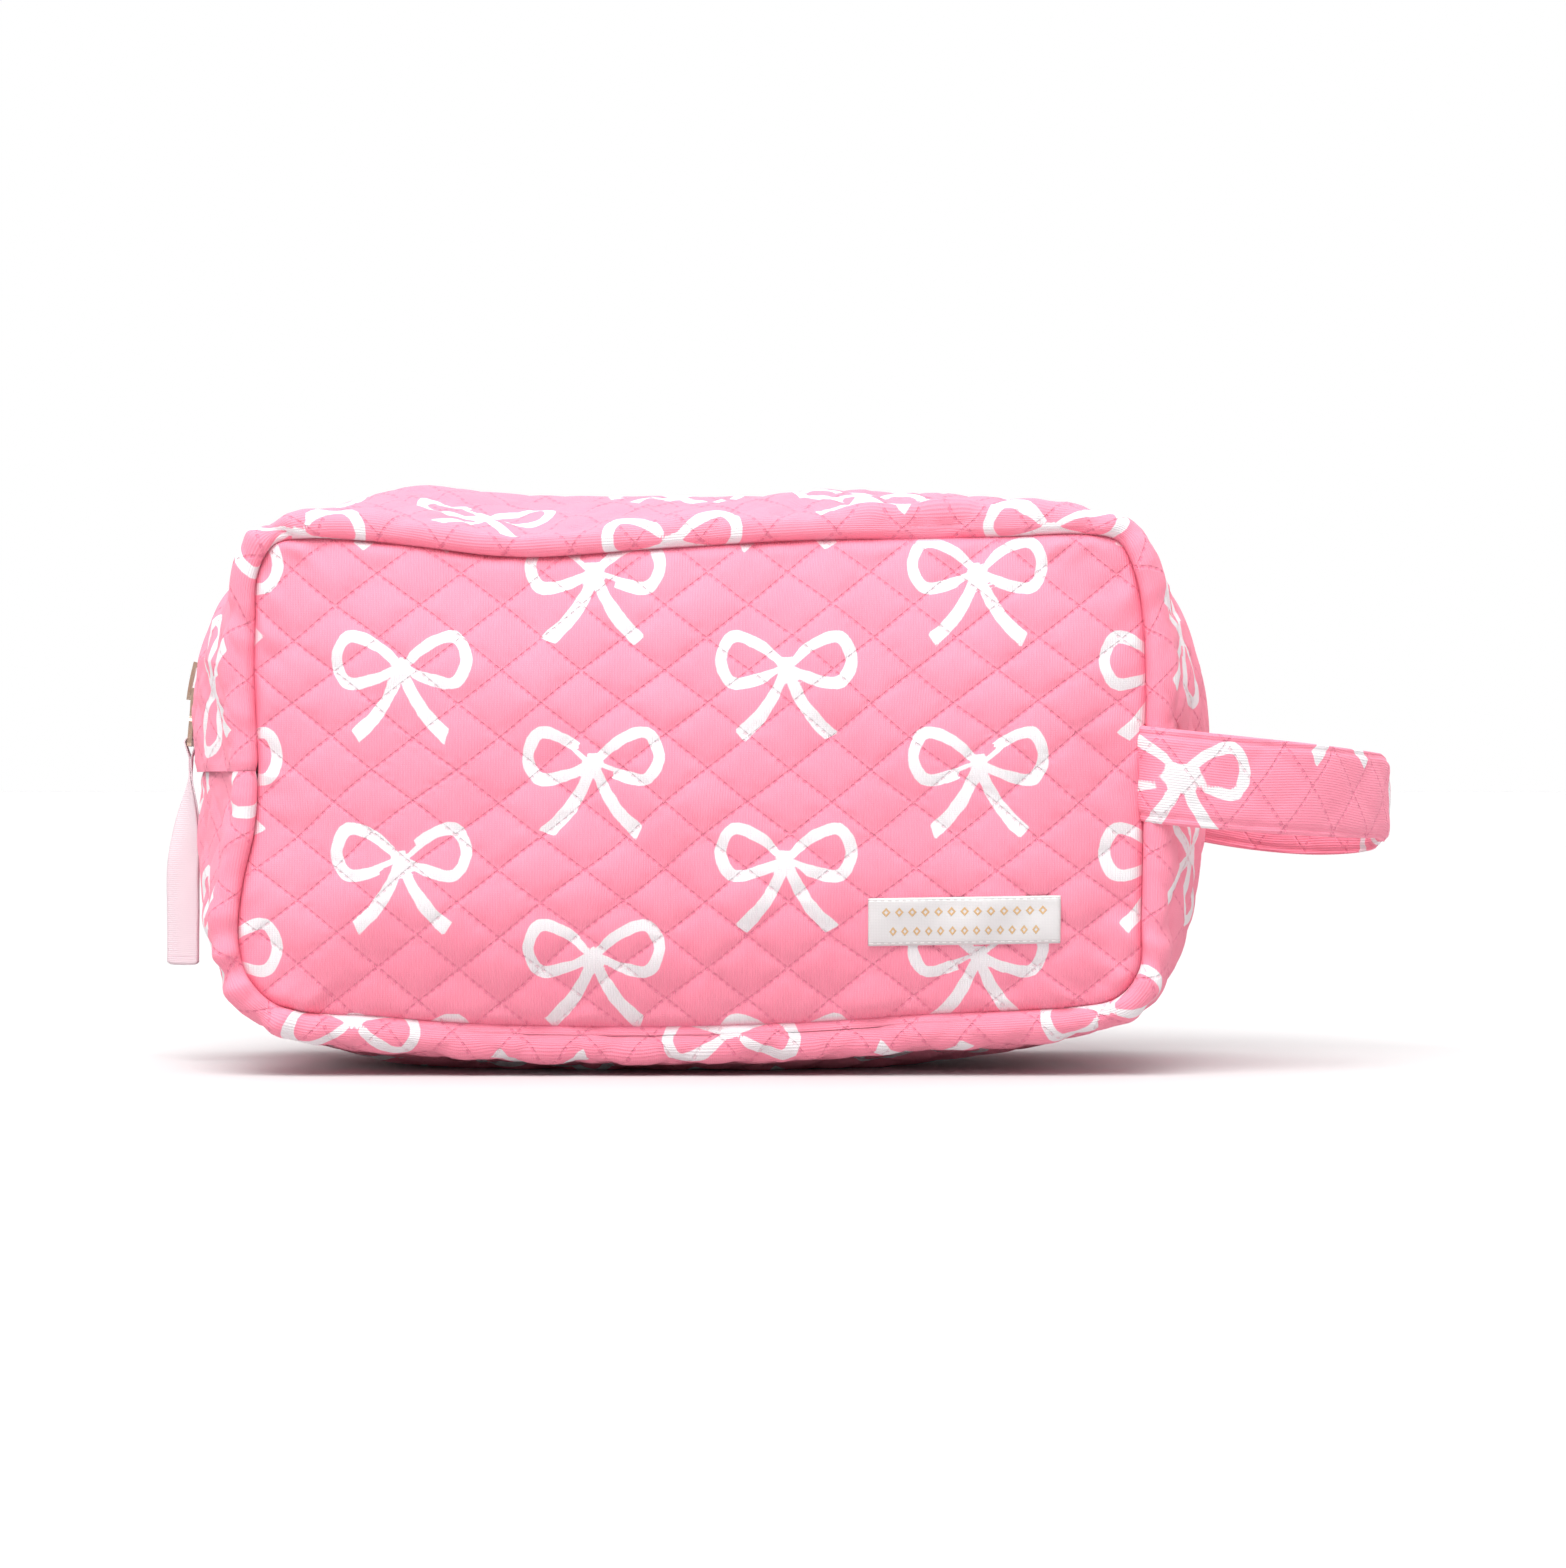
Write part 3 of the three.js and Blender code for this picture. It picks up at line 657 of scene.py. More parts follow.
def settled_height(grid, normals, sewn, side):
    """How far points rise along their normals when the cloth settles, worked out on a coarse copy."""
    rows, columns = grid.shape[:2]
    r = np.round(np.linspace(0, rows - 1, int(rows * CLOTH_STEP / COARSE))).astype(int)
    c = np.round(np.linspace(0, columns - 1, int(columns * CLOTH_STEP / COARSE))).astype(int)
    coarse = grid[r][:, c]
    moved = settled(coarse, sewn[r][:, c], side, slack=0.012, push=0.8) - coarse
    rise = (moved * normals[r][:, c]).sum(2)
    rise = rise - 0.6 * rise.mean(0)
    rise = np.stack([np.interp(np.arange(rows), r, column) for column in rise.T], 1)
    return np.stack([np.interp(np.arange(columns), c, row) for row in rise], 0)


# ---- Panels ----


# Stations at the corners of the panel seam, clockwise from the slider's top corner.
CORNERS = (5, 15, 24, 34)
PATCH = (78, 42)  # points along and up the settling panel
RASTER = 2.0


def panel_patch():
    """A grid over the panel whose edges lie on its seam, seen from the front: (x, z) points."""
    top_left, top_right, bottom_right, bottom_left = (loop.knots[corner] for corner in CORNERS)
    across, up = (np.linspace(0, 1, count) for count in PATCH)
    top = loop.at(top_left + (top_right - top_left) * across)[:, None, :2]
    bottom = loop.at(bottom_left + (bottom_right - bottom_left) * across)[:, None, :2]
    left = loop.at((bottom_left + (1 + top_left - bottom_left) * up) % 1)[None, :, :2]
    right = loop.at(bottom_right + (top_right - bottom_right) * up)[None, :, :2]
    s, t = across[:, None, None], up[None, :, None]
    low_ends = (1 - s) * bottom[:1] + s * bottom[-1:]
    high_ends = (1 - s) * top[:1] + s * top[-1:]
    corners = (1 - t) * low_ends + t * high_ends
    return (1 - t) * bottom + t * top + (1 - s) * left + s * right - corners


def sampled(cloth, side_on, upright):
    """The depth of scattered cloth points on a regular raster."""
    field = np.empty((len(side_on), len(upright)))
    for i, column in enumerate(side_on):
        near = cloth[np.abs(cloth[:, 0] - column) < 9]
        spread = (near[None, :, 0] - column) ** 2 + (near[None, :, 2] - upright[:, None]) ** 2
        weight = np.exp(-spread / 11) + 1e-9
        field[i] = (weight * np.abs(near[:, 1])).sum(1) / weight.sum(1)
    return field


def settled_panel(x, z, side, seed):
    """The height of a settled panel above its seam, at points inside it."""
    patch = panel_patch()
    s = np.linspace(-1, 1, PATCH[0])[:, None]
    t = np.linspace(-1, 1, PATCH[1])[None, :]
    height = PANEL_CROWN * (1 - np.abs(s) ** 4) * (1 - np.abs(t) ** 3.4)
    bumps = 0.9 * noise(patch[..., 0] / 19, patch[..., 1] / 17, seed) * (1 - s**6) * (1 - t**6)
    grid = np.dstack([patch[..., 0], side * (SEAM_DEPTH + height + bumps), patch[..., 1]])
    sewn = np.zeros(grid.shape[:2], bool)
    sewn[[0, -1]] = sewn[:, [0, -1]] = True
    cloth = settled(grid, sewn, side, slack=0.01, push=4.0).reshape(-1, 3)
    columns, rows = np.arange(-126, 127, RASTER), np.arange(8, 150, RASTER)
    field = sampled(cloth, columns, rows)
    i, j = (x - columns[0]) / RASTER, (z - rows[0]) / RASTER
    a, b = i.astype(int), j.astype(int)
    i, j = i - a, j - b
    low = field[a, b] * (1 - i) + field[a + 1, b] * i
    high = field[a, b + 1] * (1 - i) + field[a + 1, b + 1] * i
    return low * (1 - j) + high * j - SEAM_DEPTH


def panel_shape(side, seed):
    """Points of a crowned panel by rings out to its seam, and each point's distance in from the seam."""
    around = int(2 * (237 + 127) * 0.95 / CLOTH_STEP)
    stations = loop.at(np.arange(around) / around)
    rings = np.linspace(0, 1, int(62 / CLOTH_STEP) + 1)
    rim = stations[:, None, :2]
    core = rim * CORE + (0, PANEL_MIDDLE_Z)
    share = rings[None, :, None]
    xz = core + (rim - core) * share
    inset = ((1 - share) * np.linalg.norm(rim - core, axis=2, keepdims=True))[..., 0]
    x, z, share = xz[..., 0], xz[..., 1], share[..., 0]
    curl = 2.9 * (1 - np.exp(-((inset / 1.7) ** 1.2)))
    crown = settled_panel(x, z, side, seed) * (1 - share**8)
    waves = 1.0 * noise(x / 46, z / 34, seed) + 0.5 * noise(x / 17, z / 15, seed + 1)
    gathered = 0.45 + 1.3 * corner_weight(stations)[:, None]
    puckers = gathered * noise(lengths(rim, 0) / 5.5, inset / 30, seed + 2)
    puckers = puckers * np.exp(-((inset - 3) ** 2) / 50) * (1 - fade(inset, 2))
    depth = SEAM_DEPTH + curl + crown + waves * (1 - share**4) + puckers
    return np.dstack([x, side * depth, z]), inset


def make_panel(name, side, seed, strokes, phase):
    grid, inset = panel_shape(side, seed)
    x, z = grid[..., 0], grid[..., 2]
    u, v = warped(x - phase[0], z - phase[1], seed + 5)
    free = 1 - fade(inset, 2.2)
    grid[..., 1] += side * QUILT_DEPTH * (quilting(u, v) - QUILT_SUNK) * free
    normals = normals_of(grid, wrap=True) * -side
    nodes = [name.replace("_cloth", "")]
    obj = make_piece(
        name, grid, jersey, "bag_body", "quilted_cloth", nodes, cloth=np.dstack([u, v]),
        # The seam mask darkens the cloth with painted shade in the crease along the panel seam.
        paint=painted(x, z, strokes), seam=fade(inset, 0.9), normals=normals, wrap=True, flip=side > 0,
    )
    return grid


front_grid = make_panel("front_panel_cloth", -1, 100, PANEL_PRINT, (-103.2, 114.9))
make_panel("back_panel_cloth", 1, 200, PANEL_PRINT, (-96, 110))

# ---- Strips between the panels ----


def strip_shape(first, last, fold, side, both=False):
    """A strip's smooth form between two shares of the loop, its cloth coordinates and its normals."""
    rows = int((last - first) * loop.length / 1.4 / CLOTH_STEP)
    stations = loop.at(np.linspace(first, last, rows))
    curve = Curve(fold)
    profile = curve.at(np.linspace(0, 1, int((curve.length - 2) / CLOTH_STEP)))
    grid = folded(stations, profile, side)
    if both:
        grid = np.concatenate([grid, folded(stations, profile[-2::-1], -side)], axis=1)
    middle = (stations[:, :2] + stations[:, 2:]) / 2
    u = np.concatenate([[0], np.cumsum(np.linalg.norm(np.diff(middle, axis=0), axis=1))])
    v = lengths(grid, 1)
    u = np.broadcast_to(u[:, None], v.shape)
    normals = normals_of(grid) * -side
    return stations, grid, u, v, normals


def dress_strip(stations, grid, u, v, normals, side, seed, phase, both=False):
    """A strip with its wrinkles, puckers and quilting, its cloth coordinates, and a mask of painted shade
    along its seams.
    """
    from_zip = v[:, -1:] - v
    rim = np.minimum(v, from_zip) if both else v
    ends = np.minimum(u, u.max() - u)
    sewn = (rim < 2) | (ends < 2)
    free = (1 - fade(rim, 2.2)) * (1 - fade(ends, 3))
    if not both:
        sewn = sewn | (from_zip < 14)
        free = free * (1 - 0.7 * fade(from_zip, 14))
    gathered = 0.4 + 2.3 * corner_weight(stations)[:, None]
    puckers = noise(u / 5.2, rim / 40, seed) * np.exp(-((rim - 6) ** 2) / 110) * gathered
    waves = 1.0 * noise(u / 40, v / 24, seed + 1) + 0.5 * noise(u / 15, v / 13, seed + 2)
    cu, cv = warped(u - phase[0], v - phase[1], seed + 3)
    quilt = QUILT_DEPTH * (quilting(cu, cv) - QUILT_SUNK) * np.clip((rim - 3) / 9, 0.12, 1)
    height = free * (puckers + waves * np.clip(rim / 20, 0, 1) + quilt) - 0.55 * fade(ends, 1.6)
    height = height + settled_height(grid, normals, sewn, side)
    # Painted shade: this mask darkens the cloth in the seam creases along the rims and ends.
    seam = fade(np.minimum(rim, ends + 0.6), 0.9)
    return grid + normals * height[..., None], np.dstack([cv, cu]), seam


def piece_between(low_x, high_x, x):
    """The rows of a strip that lie between two distances along the bag."""
    rows = np.nonzero((x >= low_x) & (x <= high_x))[0]
    return slice(max(rows[0] - 1, 0), rows[-1] + 1)


# The parts of a strip that runs over the top, each from one distance along the bag to another.
STRETCHES = (("left", -1e3, -LIP_END), ("lip", -LIP_END, LIP_END), ("right", LIP_END, 1e3))


def ride_stretch(obj, stretch):
    """The middle stretch rides on the lip and stays as it is; the others have their placement baked into
    their points.
    """
    if stretch != "lip":
        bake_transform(obj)


def make_stretches(face, kind, node, grid, x, material, slot, thickness=0, flip=False, **layers):
    """Makes each stretch of a strip a piece of its own; x is where the strip's rows lie along the bag."""
    pieces = []
    for stretch, low, high in STRETCHES:
        rows = piece_between(low, high, x)
        obj = make_piece(
            f"{face}_{kind}_{stretch}",
            grid[rows],
            material,
            f"{face}_lip" if stretch == "lip" else None,
            slot,
            [f"{face}_{node}_{stretch}"],
            flip=flip,
            **{name: layer[rows] for name, layer in layers.items()},
        )
        if thickness:
            thicken(obj, thickness)
        ride_stretch(obj, stretch)
        pieces.append(obj)
    return pieces


def make_zip_strip(face, side, seed, strokes, phase):
    stations, grid, u, v, normals = strip_shape(0, cross_share, ZIP_FOLD, side)
    grid, cloth, seam = dress_strip(stations, grid, u, v, normals, side, seed, phase)
    x, paint, normals = stations[:, 0], painted(u, v, strokes), normals_of(grid) * -side
    pieces = make_stretches(
        face, "strip_cloth", "zip_strip", grid, x, jersey, "quilted_cloth",
        flip=side > 0, cloth=cloth, paint=paint, seam=seam, normals=normals,
    )


make_zip_strip("front", -1, 300, ZIP_PRINT, (8, 3))
make_zip_strip("back", 1, 400, ZIP_PRINT, (2, 6))


def make_base():
    stations, grid, u, v, normals = strip_shape(cross_share, 1, BASE_FOLD, -1, both=True)
    grid, cloth, seam = dress_strip(stations, grid, u, v, normals, -1, 500, (5, 4), both=True)
    drawn_up = 2.3 * fade(np.abs(grid[..., 1]) - 38, 13)
    grid[..., 2] += drawn_up * np.clip((20 - stations[:, 1:2]) / 4, 0, 1)
    grid[..., 2] = np.maximum(grid[..., 2], 0.1)
    nodes = ["base_strip_left", "base_strip_right"]
    obj = make_piece(
        "base_cloth", grid, jersey, "bag_body", "quilted_cloth", nodes, cloth=cloth,
        paint=painted(u, v, BASE_PRINT), seam=seam, normals=normals_of(grid),
    )


make_base()

# ---- Wrist strap ----

# Its middle line seen from above, from the front seam round to the tip: (x, distance from the bag's
# middle plane).
STRAP_PLAN = [
    (117.6, 51.5),
    (119.2, 55),
    (122.6, 58),
    (131, 58.4),
    (147, 54),
    (165, 44),
    (180, 27),
    (187.6, 10),
    (188.6, 0),
]
STRAP_Z = 79.8
STRAP_DROOP = 6.4
STRAP_HALF_WIDTH = 12.6
STRAP_HALF_THICKNESS = 1.6


def strap_line():
    """The strap's middle line: its points, their outward directions, its droop and its running length."""
    front = [(x, -y) for x, y in STRAP_PLAN]
    plan = Curve(front + STRAP_PLAN[-2::-1])
    shares = np.linspace(0, 1, int(plan.length / 0.85))
    middle = plan.at(shares)
    heading = np.gradient(middle, axis=0)
    heading /= np.linalg.norm(heading, axis=1, keepdims=True)
    outward = np.stack([heading[:, 1], -heading[:, 0]], -1)
    far_sag = 5.8 * np.sin(np.pi * np.clip((shares - 0.42) / 0.58, 0, 1))
    droop = STRAP_DROOP * np.sin(np.pi * shares) ** 0.9 + far_sag
    return middle, outward, droop, shares * plan.length


def strap_section(length, turn):
    """How far the strap's skin stands above and outside its middle line, round each section."""
    from_tip = length - length.max() / 2
    slim = 1 - 0.1 * fade(from_tip, 6) - 0.1 * fade(from_tip, 50)
    across = STRAP_HALF_WIDTH * squared(np.cos(turn), 0.55) * slim
    thick = STRAP_HALF_THICKNESS * squared(np.sin(turn), 0.5)
    u, v = warped(length + 0 * across, across, 610)
    puff = 0.55 * (quilting(u - 6, v - 2) - 0.5) * np.abs(np.sin(turn)) ** 0.5
    edge = 0.5 * fade(np.abs(across) - (STRAP_HALF_WIDTH - 2), 0.7)
    faces = np.sign(np.sin(turn)) * (np.abs(np.sin(turn)) > 0.05)
    outside = thick + faces * (puff - edge) + 0.35 * noise(length / 14, across / 9, 611) + 0.02 * across
    return across, outside, np.dstack([v, u])


def make_strap():
    middle, outward, droop, length = strap_line()
    turn = np.linspace(0, 2 * np.pi, 76, endpoint=False)[:, None]
    across, outside, cloth = strap_section(length[None, :], turn)
    xy = middle[None] + outward[None] * outside[..., None]
    grid = np.dstack([xy, STRAP_Z - droop[None, :] + across])
    paint = painted(length[None, :] + 0 * across, across, STRAP_PRINT)
    obj = make_piece(
        "strap_cloth", grid, jersey, None, "quilted_cloth", ["wrist_strap"],
        cloth=cloth, paint=paint, wrap=True,
    )
    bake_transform(obj)


make_strap()

# ---- Label ----

LABEL_LEFT, LABEL_BOTTOM = 46.4, 34.6
LABEL_SIZE = (50, 12.4)


def make_label():
    width, height = LABEL_SIZE
    across = np.linspace(0, width, 80)[:, None]
    up = np.linspace(0, height, 22)[None, :]
    x = LABEL_LEFT + across + 0 * up
    z = LABEL_BOTTOM + up + 0.014 * (x - LABEL_LEFT)
    panel = front_grid.reshape(-1, 3)
    near = panel[(np.abs(panel[:, 0] - 71) < 30) & (np.abs(panel[:, 2] - 41) < 12)]
    spread = (x[..., None] - near[:, 0]) ** 2 + (z[..., None] - near[:, 2]) ** 2
    weight = np.exp(-spread / 18)
    depth = (weight * near[:, 1]).sum(2) / weight.sum(2)
    edge = np.minimum(np.minimum(across, width - across), np.minimum(up, height - up))
    lift = 0.75 + 0.25 * noise(x / 6, z / 5, 71) - 0.35 * np.exp(-edge / 0.5)
    grid = np.dstack([x, depth - lift, z])
    cloth = np.dstack([x - LABEL_LEFT - width / 2, up - height / 2 + 0 * x])
    obj = make_piece("label_woven", grid, label_weave(), "bag_body", "label", ["label"], cloth=cloth)
    thicken(obj, 0.45)


make_label()

# ---- Zip: tapes, coils, and the metal parts ----

zip_stations = loop.at(np.linspace(0, cross_share, 360))
TAPE_DEPTHS = (0.3, 1.5, 2.6, 3.4, 4.2, 5.5, 8, 12)
TAPE_PROFILE = np.array([(1, 1, y, 3.5 + 0.25 * (y > 3.4)) for y in TAPE_DEPTHS])
COIL_FOOT_Z = 98.6  # where the coil comes out of the slider
COIL_PITCH = 1.5
COIL_SUNK = 2.15
COIL_WIRE = 0.42


def make_tape(face, side):
    grid = folded(zip_stations, TAPE_PROFILE, side)
    u = lengths(grid, 0)
    cloth = np.dstack([u, np.broadcast_to(TAPE_PROFILE[None, :, 2], u.shape)])
    x = zip_stations[:, 0]
    make_stretches(face, "tape", "zip_tape", grid, x, tape_weave, "zip_tape", 0.5, side > 0, cloth=cloth)


def crest_frame(distance, crest, run):
    """Points on the crest at these distances along it, and the outward direction there."""
    at = np.stack([np.interp(distance, run, crest[:, k]) for k in (0, 1)], -1)
    ahead = np.stack([np.interp(distance + 1, run, crest[:, k]) for k in (0, 1)], -1)
    behind = np.stack([np.interp(distance - 1, run, crest[:, k]) for k in (0, 1)], -1)
    heading = ahead - behind
    heading /= np.linalg.norm(heading, axis=1, keepdims=True) + 1e-9
    return at, np.stack([-heading[:, 1], heading[:, 0]], -1)


def coil_tube(side):
    """One row of the zip's coil as a bent wire: its middle line, and rings of points round it."""
    crest = zip_stations[:, 2:]
    run = np.concatenate([[0], np.cumsum(np.linalg.norm(np.diff(crest, axis=0), axis=1))])
    rising = crest[:60]
    start = np.interp(COIL_FOOT_Z, rising[:, 1], run[:60])
    stop = run[-1] - start
    turns = (stop - start) / COIL_PITCH
    phase = np.arange(0, turns, 1 / 12) * 2 * np.pi + (math.pi if side > 0 else 0)
    distance = start + phase / (2 * np.pi) * COIL_PITCH
    at, out = crest_frame(distance, crest, run)
    y = side * (1.55 - 1.75 * np.cos(phase))
    rise = -COIL_SUNK + 0.85 * np.sin(phase)
    line = np.stack([at[:, 0] + out[:, 0] * rise, y, at[:, 1] + out[:, 1] * rise], -1)
    along = np.gradient(line, axis=0)
    along /= np.linalg.norm(along, axis=1, keepdims=True)
    first = np.cross(along, np.stack([out[:, 0], 0 * y, out[:, 1]], -1) + 1e-3)
    first /= np.linalg.norm(first, axis=1, keepdims=True)
    second = np.cross(along, first)
    section = np.linspace(0, 2 * np.pi, 7)[None, :, None]
    ring = first[:, None] * np.cos(section) + second[:, None] * np.sin(section)
    return line, line[:, None] + COIL_WIRE * ring


def make_coil(face, side):
    line, tube = coil_tube(side)
    make_stretches(face, "coil", "zip_coil", tube, line[:, 0], nylon, "zip_coil")


for face, side in (("front", -1), ("back", 1)):
    make_tape(face, side)
    make_coil(face, side)

for name in ("slider_body", "pull_tab", "top_stop_front", "top_stop_back", "bottom_stop"):
    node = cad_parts[name]
    node.data.materials.clear()
    node.data.materials.append(brass)
    bevel = node.modifiers.new("worn_edges", "BEVEL")
    bevel.width = 0.00022
    bevel.segments = 3
    bevel.angle_limit = math.radians(40)
    bevel.harden_normals = True

# ---- Ribbon on the pull ----

RIBBON_LENGTH = 61
RIBBON_HALF_WIDTH = 4.9
RIBBON_PINCH = 2.1  # half its width where it passes through the pull
RIBBON_PIVOT = (-138.49, 87.99)


def ribbon_path():
    """Up one layer of the ribbon, round the pull's bar and down the other: (offset, height) points."""
    layer = np.linspace(-RIBBON_LENGTH, -4, 60)
    turn = np.linspace(0, np.pi, 14)
    radius, split = 1.6, 0.24
    half = split + 0.1 * np.sin(np.pi * (layer + RIBBON_LENGTH) / 57) ** 2
    return np.vstack(
        [
            np.stack([half, layer], -1),
            np.stack([radius * np.cos(turn), radius * np.sin(turn)], -1),
            np.stack([-half, layer], -1)[::-1],
        ]
    )


def eased(value, low, high):
    share = np.clip((value - low) / (high - low), 0, 1)
    return share**2 * (3 - 2 * share)


def make_ribbon():
    path = ribbon_path()
    z = path[:, 1:]
    reach = np.linspace(-1, 1, 14)[None, :]
    rounding = 0.8 * fade(z + RIBBON_LENGTH, 0.5) * np.abs(reach) ** 6
    across = reach * (RIBBON_PINCH + (RIBBON_HALF_WIDTH - RIBBON_PINCH) * eased(-z, 2, 16))
    cup = 0.35 * (1 - reach**2) * eased(-z, 4, 20) * np.sign(path[:, :1] + 1e-6)
    twist = np.radians(66) * eased(-z, 2, 34)
    x = path[:, :1] + cup + 0.25 * noise(across / 5, z / 9, 81)
    drift = -2.2 * eased(-z, 6, 40)
    grid = np.dstack(
        [
            RIBBON_PIVOT[0] + drift + x * np.cos(twist) - across * np.sin(twist),
            x * np.sin(twist) + across * np.cos(twist),
            RIBBON_PIVOT[1] + z + rounding,
        ]
    )
    cloth = np.dstack([across, z + RIBBON_LENGTH + 0 * across])
    nodes = ["ribbon_puller"]
    obj = make_piece("ribbon_loop", grid, ribbon_satin(), "puller_ribbon", "ribbon", nodes, cloth=cloth)
    thicken(obj, 0.4)


make_ribbon()

# ---- Inside: linings and bound seams ----


def make_linings():
    for face, side in (("front", -1), ("back", 1)):
        profile = Curve(LINING_FOLD).at(np.linspace(0, 1, 24))
        stations = loop.at(np.linspace(0, cross_share, 190))
        grid = folded(stations, profile, side)
        u, v = lengths(grid, 0), lengths(grid, 1)
        grid = grid - normals_of(grid) * -side * (0.5 + 0.5 * noise(u / 16, v / 12, 90))[..., None]
        x, cloth = stations[:, 0], np.dstack([u, v])
        make_stretches(
            face, "lining", "strip_lining", grid, x, lining_weave, "lining", 0.3, side < 0, cloth=cloth
        )


def make_base_lining():
    profile = Curve(LINING_FOLD[:-1] + [(1, 1, 0, 4.6)]).at(np.linspace(0, 1, 28))
    stations = loop.at(np.linspace(cross_share, 1, 200))
    grid = np.concatenate([folded(stations, profile, -1), folded(stations, profile[-2::-1], 1)], axis=1)
    u, v = lengths(grid, 0), lengths(grid, 1)
    grid = grid - normals_of(grid) * (0.5 + 0.6 * noise(u / 16, v / 12, 91))[..., None]
    obj = make_piece(
        "base_lining_cloth", grid, lining_weave, "bag_body", "lining", ["base_lining"],
        cloth=np.dstack([u, v]), flip=True,
    )
    thicken(obj, 0.3)


def make_panel_linings():
    for face, side in (("front", -1), ("back", 1)):
        stations = loop.at(np.arange(240) / 240)
        share = np.linspace(0, 1, 30)[None, :, None]
        rim = (stations[:, None, :2] - (0, PANEL_MIDDLE_Z)) * 0.992 + (0, PANEL_MIDDLE_Z)
        core = rim * CORE + (0, PANEL_MIDDLE_Z)
        xz = core + (rim - core) * share
        x, z, out = xz[..., 0], xz[..., 1], share[..., 0]
        waves = 0.7 * noise(x / 18, z / 14, 92) * (1 - out**6)
        depth = 47.4 + 3.6 * out**20 + 9.2 * (1 - out**3) + waves
        grid = np.dstack([x, side * depth, z])
        name = f"{face}_panel_lining"
        make_piece(
            f"{name}_cloth", grid, lining_weave, "bag_body", "lining", [name],
            cloth=xz, wrap=True, flip=side < 0,
        )


def bound_tape(name, middle, inward, half_depth, y, node):
    """A folded binding tape along a line, standing in from it."""
    turn = np.linspace(0, 2 * np.pi, 17)[None, :]
    reach = 1.1 * squared(np.sin(turn), 0.6)
    depth = half_depth * squared(np.cos(turn), 0.5)
    ripple = 0.25 * noise(np.arange(len(middle))[:, None] / 4, depth / 3, 93)
    xz = middle[:, None] + inward[:, None] * (reach + ripple)[..., None]
    grid = np.dstack([xz[..., 0], y + depth + 0 * xz[..., 0], xz[..., 1]])
    cloth = np.dstack([lengths(grid, 0), np.broadcast_to(depth, grid.shape[:2])])
    make_piece(name, grid, binding_weave, "bag_body", "zip_tape", [node], cloth=cloth)


def make_bindings():
    stations = loop.at(np.append(np.arange(300) / 300, 1.0))[:, :2]
    inward = (0, PANEL_MIDDLE_Z) - stations
    inward = inward / np.linalg.norm(inward, axis=1, keepdims=True)
    middle = stations + 3.6 * inward
    for face, side in (("front", -1), ("back", 1)):
        bound_tape(f"{face}_binding_tape", middle, inward, 3.4, side * 44.6, f"{face}_seam_binding")


def make_end_bindings():
    across = np.linspace(-35, 35, 60)[:, None]
    bulge = (1 - np.abs(across / 54) ** 2.2) ** (1 / 2.2)
    turn = np.linspace(0, 2 * np.pi, 17)[None, :]
    reach = 0.9 * squared(np.sin(turn), 0.6)
    height = 3.8 * squared(np.cos(turn), 0.5)
    z = CROSS_SEAM_Z + height + 0.3 * noise(across / 6, height, 94)
    for end, share in (("left", 0.0), ("right", cross_share)):
        station = loop.at([share])[0]
        out = station[2] - station[0]
        x = station[0] + out * bulge - math.copysign(7.2, out)
        grid = np.dstack([x + reach, across + 0 * reach, z])
        nodes = [f"{end}_end_seam_binding"]
        make_piece(
            f"{end}_end_binding_tape", grid, binding_weave, "bag_body", "zip_tape", nodes,
            cloth=grid[..., 1:],
        )


make_linings()
make_base_lining()
make_panel_linings()
make_bindings()
make_end_bindings()

# ---- Floor, light and camera ----


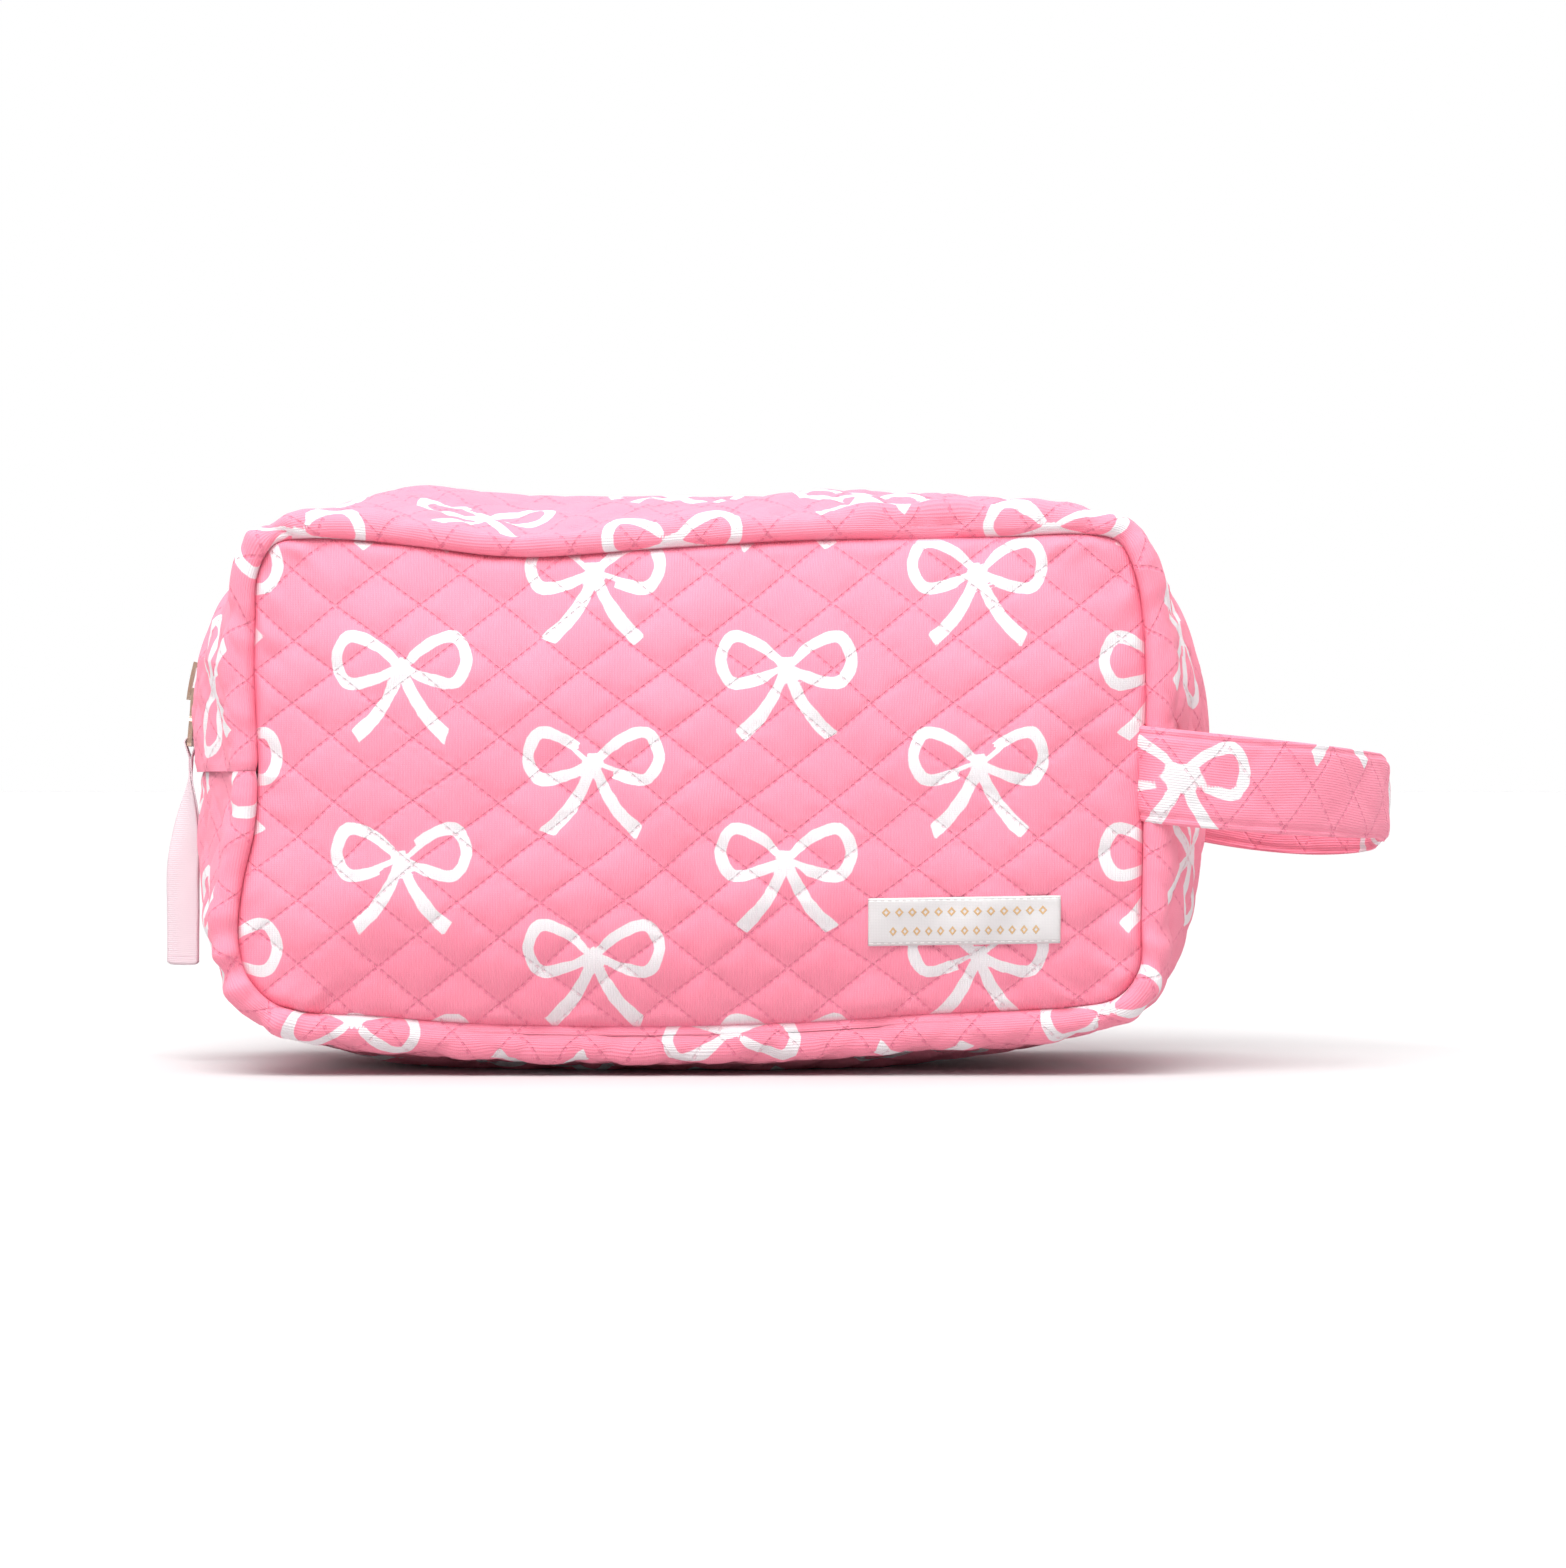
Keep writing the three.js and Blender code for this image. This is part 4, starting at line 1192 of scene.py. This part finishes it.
def make_floor():
    mesh = bpy.data.meshes.new("floor")
    size = 40
    corners = [(-size, -size, 0), (size, -size, 0), (size, size, 0), (-size, size, 0)]
    mesh.from_pydata(corners, [], [(0, 1, 2, 3)])
    material, shader = new_material("pale_floor", 0.9)
    shader.inputs["Base Color"].default_value = (0.58, 0.58, 0.58, 1)
    mesh.materials.append(material)
    floor = bpy.data.objects.new("floor", mesh)
    bpy.context.scene.collection.objects.link(floor)


def soft_light(name, place, target, size, power):
    light = bpy.data.lights.new(name, "AREA")
    light.shape = "RECTANGLE"
    light.size, light.size_y = size
    light.energy = power
    obj = bpy.data.objects.new(name, light)
    obj.location = place
    towards = np.array(target) - np.array(place)
    obj.rotation_euler = (
        math.atan2(math.hypot(towards[0], towards[1]), -towards[2]),
        0,
        math.atan2(towards[1], towards[0]) - math.pi / 2,
    )
    bpy.context.scene.collection.objects.link(obj)


def make_world():
    """A white backdrop behind the bag, a bright ceiling, and a darker room behind the camera."""
    world = bpy.data.worlds.new("studio")
    world.use_nodes = True
    background = world.node_tree.nodes["Background"]
    background.inputs[0].default_value = (1, 1, 1, 1)
    n = Nodes(world)
    split = n.add("ShaderNodeSeparateXYZ")
    n.join(split.inputs[0], n.add("ShaderNodeTexCoord").outputs["Generated"])
    backdrop = n.ramp(split.outputs[1], -0.5, 0.4, 0.35, 1.0)
    ceiling = n.ramp(split.outputs[2], 0.3, 0.9, 0.0, 0.5)
    n.join(background.inputs[1], n.math("ADD", backdrop, ceiling))
    bpy.context.scene.world = world


def make_light():
    make_world()
    sun = bpy.data.lights.new("soft_sky", "SUN")
    sun.energy = 2.7
    sun.angle = math.radians(50)
    sky = bpy.data.objects.new("soft_sky", sun)
    sky.rotation_euler = (math.radians(34), 0, math.radians(-14))
    bpy.context.scene.collection.objects.link(sky)
    soft_light("overhead", (-0.1, -0.42, 0.7), (0.02, -0.03, 0.12), (0.5, 0.3), 2.2)


def make_camera():
    camera = bpy.data.objects.new("camera", bpy.data.cameras.new("camera"))
    camera.data.sensor_fit = "HORIZONTAL"
    camera.data.sensor_width = 36
    camera.data.lens = 96.5
    camera.location = (0.0242, -1.154, 0.0767)
    camera.rotation_euler = (math.pi / 2, 0, 0)
    bpy.context.scene.collection.objects.link(camera)
    bpy.context.scene.camera = camera


make_floor()
make_light()
make_camera()
bpy.context.scene.view_settings.view_transform = "Standard"
